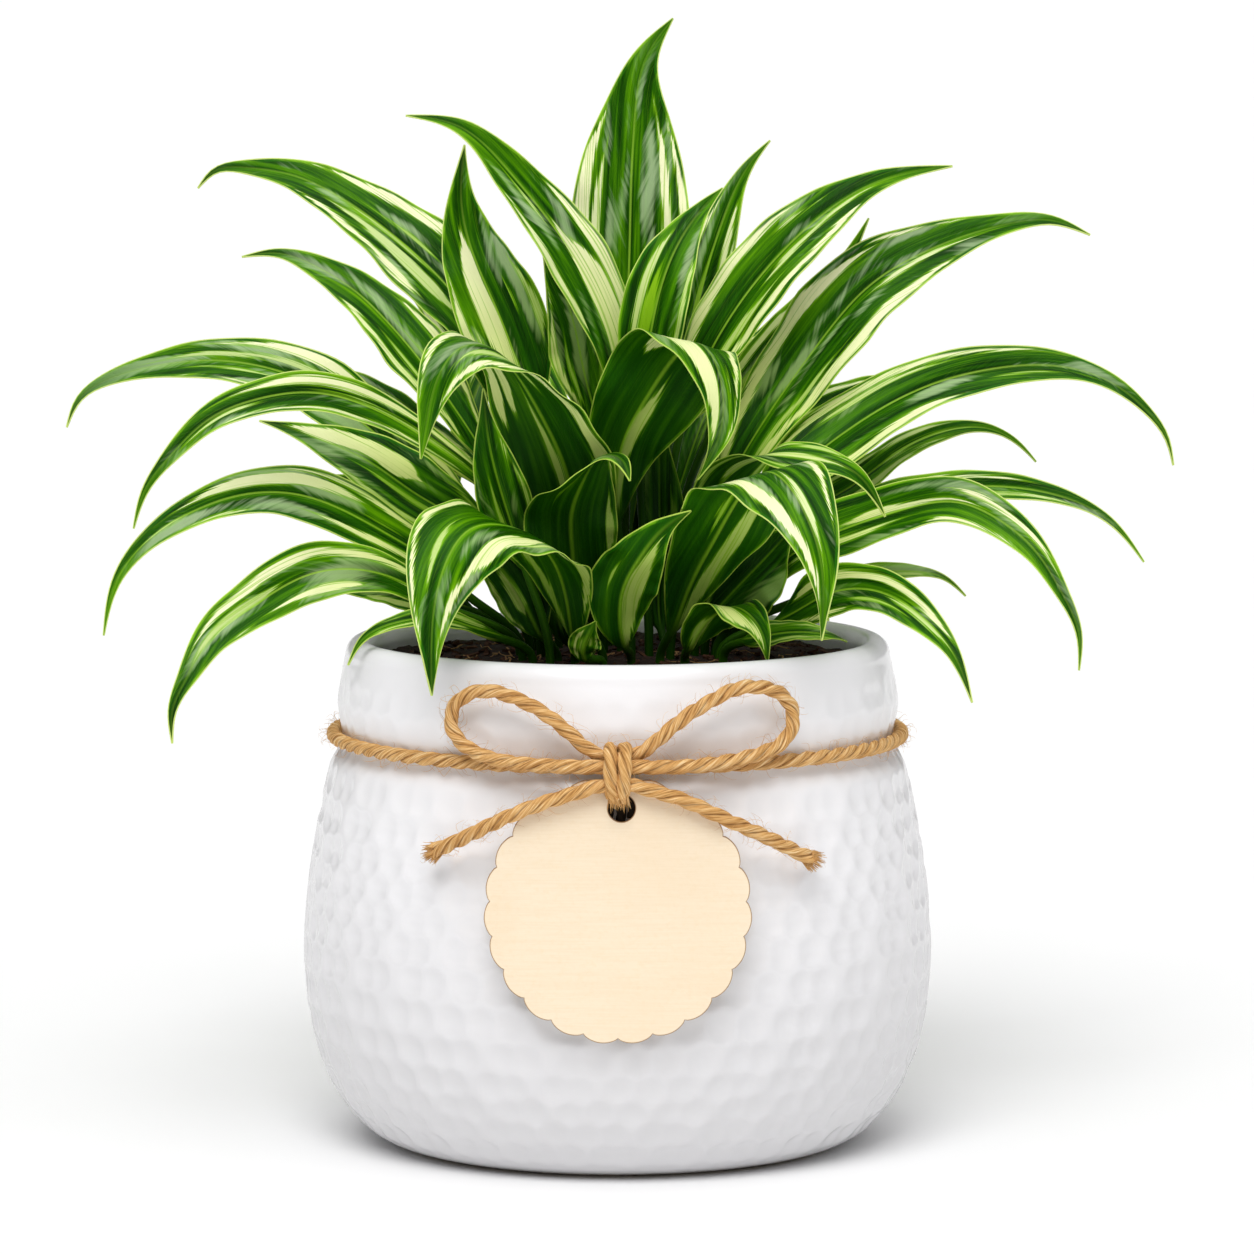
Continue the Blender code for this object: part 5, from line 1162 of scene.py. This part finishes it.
class LeafShader(Shader):
    """The leaf material: a point's place on its blade, streaky noises, and the layers of colour.

    Across runs from -1 to 1 and share from 0 at the blade's start to 1 at its tip. Face is 1 on the upper
    face and -1 on the lower one. Half, length, sideways, inward and to_edge are millimetres.
    """

    def __init__(self):
        super().__init__("striped leaf")
        self.across, self.share, self.face = self.parts(self.attribute("blade_place")["Vector"])
        self.half, self.length, self.leaf = self.parts(self.attribute("blade_size")["Vector"])
        self.sideways = self.times(self.across, self.half)
        self.inward = self.size(self.sideways)
        self.to_edge = self.times(self.minus(1.0, self.size(self.across)), self.half)
        self.under = self.smooth(self.face, 0.5, -0.5)
        self.medium = self.streaks(0.5, 0.022, 9.0, 3.0)
        self.fine = self.streaks(3.4, 0.045, 4.0, 3.0)
        self.ripple = self.feathers(1.8, 0.3)

    def streaks(self, across_scale, along_scale, shift, detail):
        """A noise drawn out along the blade."""
        return self.noise(self.vector(self.math("MULTIPLY_ADD", self.sideways, across_scale, shift),
                                      self.times(self.length, along_scale), self.times(self.leaf, 3.7)),
                          1.0, detail)

    def feathers(self, along_scale, across_scale):
        """A noise drawn out along the side veins, which slant from the rib towards the tip."""
        vein_run = self.math("MULTIPLY_ADD", self.inward, -VEIN_SLANT, self.length)
        return self.noise(self.vector(self.times(vein_run, along_scale),
                                      self.times(self.sideways, across_scale), self.leaf), 1.0)

    def green_ground(self):
        """Streaked green, with painted sheen in silvery feathered patches on the upper face away from its two
        ends.
        """
        colour = self.ramp(self.medium, [(0.36, tone(14, 56, 0)), (0.5, tone(36, 92, 0)),
                                         (0.64, tone(76, 136, 0)), (0.8, tone(128, 186, 8))])
        colour = self.mix(self.smooth(self.fine, 0.55, 0.7, 0.0, 0.25), colour, tone(110, 172, 20))
        colour = self.mix(self.smooth(self.fine, 0.46, 0.3, 0.0, 0.4), colour, tone(12, 56, 0))
        colour = self.mix(self.smooth(self.ripple, 0.5, 0.75, 0.0, 0.15), colour, tone(90, 152, 10))
        colour = self.mix(self.times(self.under, 0.55), colour, tone(28, 88, 0))
        # Painted sheen: grey-green feathered patches along the side veins, where the upper face would catch
        # light.
        sheen_patches = self.sway(self.feathers(0.34, 0.14), 0.28, self.streaks(0.22, 0.028, 23.0, 1.0))
        painted_sheen = self.times(self.smooth(sheen_patches, 0.53, 0.7, 0.0, 0.64), self.minus(1.0, self.under),
                            self.smooth(self.share, 0.12, 0.32), self.smooth(self.share, 0.98, 0.7))
        return self.mix(painted_sheen, colour, tone(186, 212, 160))

    def with_bands(self, colour):
        """Cream to lime bands that taper at their ends, with ragged sides, green lines and a lime halo."""
        wobble = self.sway(self.streaks(0.3, 0.022, 1.0, 2.0), 1.25)
        fringe = self.sway(self.medium, 1.9, self.sway(self.fine, 2.2))
        green_lines = self.smooth(self.streaks(2.2, 0.013, 14.0, 2.0), 0.57, 0.66, 0.0, 0.75)
        swell = self.smooth(self.streaks(0.15, 0.03, 31.0, 1.0), 0.3, 0.7, 0.6, 1.45)
        breadth = self.times(self.half, swell)
        tones = [share for k in range(BAND_SLOTS // TONES_TOGETHER)
                 for share in self.parts(self.attribute(f"band_tones_{k}")["Vector"])]
        for number in range(BAND_SLOTS):
            band = self.attribute(f"band_{number}")
            centre, width, start = self.parts(band["Vector"])
            end = band["Alpha"]
            present = self.times(self.smooth(self.share, start, self.plus(start, BAND_START_TAPER)),
                                 self.smooth(self.share, end, self.minus(end, BAND_END_TAPER)))
            off_centre = self.minus(self.sideways, self.times(centre, self.half))
            depth = self.minus(self.times(width, present, breadth), self.size(self.plus(off_centre, wobble)))
            missing = self.times(self.minus(1.0, present), BAND_TAPER_LOSS)
            depth = self.minus(self.plus(depth, fringe), missing)
            pale = self.mix(tones[number], tone(146, 196, 32), tone(250, 251, 203))
            pale = self.mix(green_lines, pale, tone(160, 204, 62))
            colour = self.mix(self.smooth(depth, -0.7, 0.1, 0.0, 0.75), colour, tone(134, 192, 22))
            colour = self.mix(self.smooth(depth, -0.1, 0.2), colour, pale)
        return colour

    def with_edges(self, colour):
        """An uneven green margin, a thin pale rim, a pale rib, and the plain green of the stalk."""
        margin = self.smooth(self.sway(self.medium, 1.6, self.to_edge), 1.15, 0.7, 0.0, 0.9)
        margin = self.times(margin, self.smooth(self.half, 1.5, 3.5))
        greens = self.mix(self.smooth(self.medium, 0.4, 0.62), tone(36, 104, 6), tone(128, 186, 30))
        colour = self.mix(margin, colour, greens)
        rim = self.times(self.smooth(self.sway(self.medium, 0.5, self.to_edge), 0.4, 0.18),
                         self.smooth(self.share, 0.0, 0.12, 0.1, 0.85))
        colour = self.mix(rim, colour, tone(220, 238, 134))
        rib_half_width = self.smooth(self.face, -0.5, 0.5, 0.9, 0.45)
        rib = self.times(self.smooth(self.inward, rib_half_width, 0.1),
                         self.smooth(self.share, 0.95, 0.4, 0.1, 0.7))
        colour = self.mix(rib, colour, tone(160, 204, 66))
        return self.mix(self.smooth(self.share, 0.06, 0.0, 0.0, 0.85), colour, tone(74, 128, 24))

    def with_crown_shade(self, colour):
        """Painted light and shade near the crown: greener as if light came through other blades, and painted
        shade darker at its middle.
        """
        distance = self.node("ShaderNodeVectorMath", {0: self.place(), 1: CROWN_CENTRE},
                             operation="DISTANCE").outputs["Value"]
        # Painted light: a yellow-green tint towards the crown, for light that comes through other blades.
        painted_filtered_light = self.smooth(distance, 0.12, 0.055, 0.0, 0.85)
        colour = self.mix(painted_filtered_light, colour, tone(222, 240, 146), "MULTIPLY")
        # Painted shade: darker in the middle of the crown, where the blades shade each other.
        painted_crown_shade = self.smooth(distance, 0.075, 0.03, 0.0, 0.92)
        return self.mix(painted_crown_shade, colour, tone(72, 98, 36), "MULTIPLY")


def leaf_material():
    """A blade with a satin upper face, a duller lower one, and fine ridges along its side veins."""
    shader = LeafShader()
    colour = shader.with_edges(shader.with_bands(shader.green_ground()))
    relief = shader.plus(shader.ripple, shader.times(shader.fine, 0.5))
    roughness = shader.smooth(shader.ripple, 0.3, 0.7, 0.26, 0.38)
    roughness = shader.plus(roughness, shader.times(shader.under, 0.14))
    return shader.finish(shader.with_crown_shade(colour), roughness, 0.06, shader.bump(relief, 0.00022, 0.7))


def blade_shape(share, widest, fullness):
    """Width of a blade as a share of its widest, at a share of its length from its start to its tip."""
    rising = np.sin(0.5 * np.pi * np.clip(share, 0, widest) / widest)
    drawn_out = 1 - TIP_DRAW * smoothstep(share, TIP_DRAWN_FROM, 1)
    falling = (1 - (np.clip(share - widest, 0, 1) / (1 - widest)) ** fullness) * drawn_out
    return np.where(share < widest, rising, falling)


def leaf_spine(foot, route):
    """Rings from the buried foot to the tip: place, tangent, share of the blade and length from the soil."""
    midrib, along, lengths = spline_points([(*foot, SOIL_LEVEL + STALK_STRAIGHT)] + route, (0, 0, 1))
    neck, end = lengths[1], along[-1]
    stalk = np.linspace(0, neck, STALK_RINGS, endpoint=False)
    blade = neck + (end - neck) * np.linspace(0, 1, BLADE_RINGS)
    wanted = np.concatenate([stalk, blade])
    ahead = at_lengths(midrib, along, wanted + SLOPE_REACH)
    behind = at_lengths(midrib, along, wanted - SLOPE_REACH)
    tangents = unit(ahead - behind)
    tangents[0] = (0, 0, 1)
    buried = np.array([(*foot, SOIL_LEVEL - STALK_BURIED)])
    places = np.concatenate([buried, at_lengths(midrib, along, wanted)])
    share = np.concatenate([[0], np.maximum(0, (wanted - neck) / (end - neck))])
    return places, np.concatenate([tangents[:1], tangents]), share, np.concatenate([[-STALK_BURIED], wanted])


def leaf_faces(rows, columns):
    """Faces of a closed blade, whose upper face's points come first and whose lower face's come after."""
    count = rows * columns
    last = count - columns
    upper = grid_faces(rows, columns, False)
    lower = [tuple(count + i for i in reversed(face)) for face in upper]
    edges = []
    for row in range(rows - 1):
        low, high = row * columns, (row + 1) * columns
        edges.append((low, high, count + high, count + low))
        low, high = low + columns - 1, high + columns - 1
        edges.append((low, count + low, count + high, high))
    start_cap = (*range(count, count + columns), *reversed(range(columns)))
    end_cap = (*reversed(range(count + last, count + count)), *range(last, count))
    return upper + lower + edges + [start_cap, end_cap]


def band_values(name):
    """The leaf's bands as values of its points: four numbers for each band, and the tones in threes."""
    bands = (BANDS.get(name, PLAIN_BANDS) + [NO_BAND] * BAND_SLOTS)[:BAND_SLOTS]
    values = {f"band_{k}": bands[k][:4] for k in range(BAND_SLOTS)}
    for k in range(BAND_SLOTS // TONES_TOGETHER):
        together = bands[TONES_TOGETHER * k:TONES_TOGETHER * (k + 1)]
        values[f"band_tones_{k}"] = tuple(band[4] for band in together)
    return values


def build_leaf(number, row, material):
    """One leaf: a round stalk that opens into a folded blade along the midrib's route."""
    name, width, widest, fullness, foot, facing_start, facing_tip, route = row
    places, tangents, share, lengthways = leaf_spine(foot, route)
    share, lengthways = share[:, None], lengthways[:, None]
    turn = smoothstep(share, BLADE_TURN_FROM, BLADE_TURN_TO)
    facing = unit((1 - turn) * np.array(facing_start) + turn * np.array(facing_tip))
    side = unit(np.cross(tangents, facing))
    normal = np.cross(side, tangents)
    opened = smoothstep(share, 0, BLADE_OPEN_BY)
    thick = 1 - smoothstep(share, BLADE_THIN_FROM, 1)
    root = STALK_HALF_WIDTH + (TIP_HALF_WIDTH - STALK_HALF_WIDTH) * smoothstep(share, 0, STALK_LOST_BY)
    half = root + 0.5 * width * blade_shape(share, widest, fullness)
    fold = BLADE_ROLL if np.dot(facing_start, facing_tip) < 0 else BLADE_FOLD

    across = np.array([[-x for x in reversed(ACROSS_HALF)] + [0.0] + list(ACROSS_HALF)])
    size = np.abs(across)
    ripple_turn = 2 * np.pi * RIPPLES * share + RIPPLE_SHIFT_EACH * number
    ripple_turn = ripple_turn + RIPPLE_SHIFT_ASIDE * np.sign(across)
    lift = opened * size * half * fold * (1 - FOLD_EASING * size)
    lift = lift + opened * size * half * BLADE_WAVE * np.sin(2 * np.pi * BLADE_WAVES * share + across)
    lift = lift + opened * size ** 3 * half * RIPPLE * np.sin(ripple_turn)
    sideways = across * half
    ridge = np.exp(-(sideways / RIB_HALF_WIDTH) ** 2) * thick
    stalk = 0.5 * STALK_THICKNESS * np.sqrt(np.clip(1 - across ** 2, 0, 1)) + STALK_SIDE_THICKNESS
    lamina = 0.5 * BLADE_EDGE_THICKNESS * (1 - BLADE_EDGE_THINNING * size ** 4)
    rib = (BLADE_RIB_THICKNESS - BLADE_EDGE_THICKNESS) * ridge
    above = (1 - opened) * stalk + opened * (lamina - CHANNEL_DEPTH * ridge)
    below = (1 - opened) * stalk + opened * (lamina + rib)
    normal = normal[:, None, :]
    middle = places[:, None, :] + sideways[:, :, None] * side[:, None, :] + lift[:, :, None] * normal
    faces = np.concatenate([middle + above[:, :, None] * normal, middle - below[:, :, None] * normal])

    shape = sideways.shape
    blade_place = [point_values(shape, across, share, face_sign) for face_sign in (1, -1)]
    blade_size = point_values(shape, half, lengthways, number)
    builder = Builder()
    builder.add(faces, leaf_faces(*shape), blade_place=np.concatenate(blade_place),
                blade_size=np.concatenate([blade_size, blade_size]), **band_values(name))
    builder.finish(f"blade_{name}", [material], "leaf", f"leaf_{name}", LEAF_SHARP_ANGLE)


def add_light(name, azimuth, elevation, width, strength):
    """A distant soft light; azimuth 0 is behind the camera and 90 is the viewer's right, in degrees."""
    data = bpy.data.lights.new(name, "SUN")
    data.angle = math.radians(width)
    data.energy = strength
    light = bpy.data.objects.new(name, data)
    a, e = math.radians(azimuth), math.radians(elevation)
    toward = Vector((math.sin(a) * math.cos(e), -math.cos(a) * math.cos(e), math.sin(e)))
    light.rotation_euler = toward.to_track_quat("Z", "Y").to_euler()
    bpy.context.scene.collection.objects.link(light)


def build_studio():
    """A plain white floor under soft white light."""
    mesh = bpy.data.meshes.new("floor")
    corners = [(x * FLOOR_REACH, y * FLOOR_REACH, 0) for x, y in ((-1, -1), (1, -1), (1, 1), (-1, 1))]
    mesh.from_pydata(corners, [], [(0, 1, 2, 3)])
    floor = bpy.data.objects.new("floor", mesh)
    bpy.context.scene.collection.objects.link(floor)
    white = (FLOOR_WHITENESS, FLOOR_WHITENESS, FLOOR_WHITENESS, 1)
    mesh.materials.append(Shader("white floor").finish(white, 0.9, 0.0))

    world = bpy.data.worlds.new("studio")
    world.use_nodes = True
    background = world.node_tree.nodes["Background"]
    background.inputs["Color"].default_value = (1, 1, 1, 1)
    background.inputs["Strength"].default_value = WORLD_STRENGTH
    bpy.context.scene.world = world
    for light in LIGHTS:
        add_light(*light)
    bpy.context.scene.view_settings.view_transform = "Standard"
    bpy.context.scene.view_settings.look = "None"


add_camera()
build_twine()
build_pot()
build_soil()
build_tag()
leaf = leaf_material()
for leaf_number, leaf_row in enumerate(LEAVES):
    build_leaf(leaf_number, leaf_row, leaf)
build_studio()
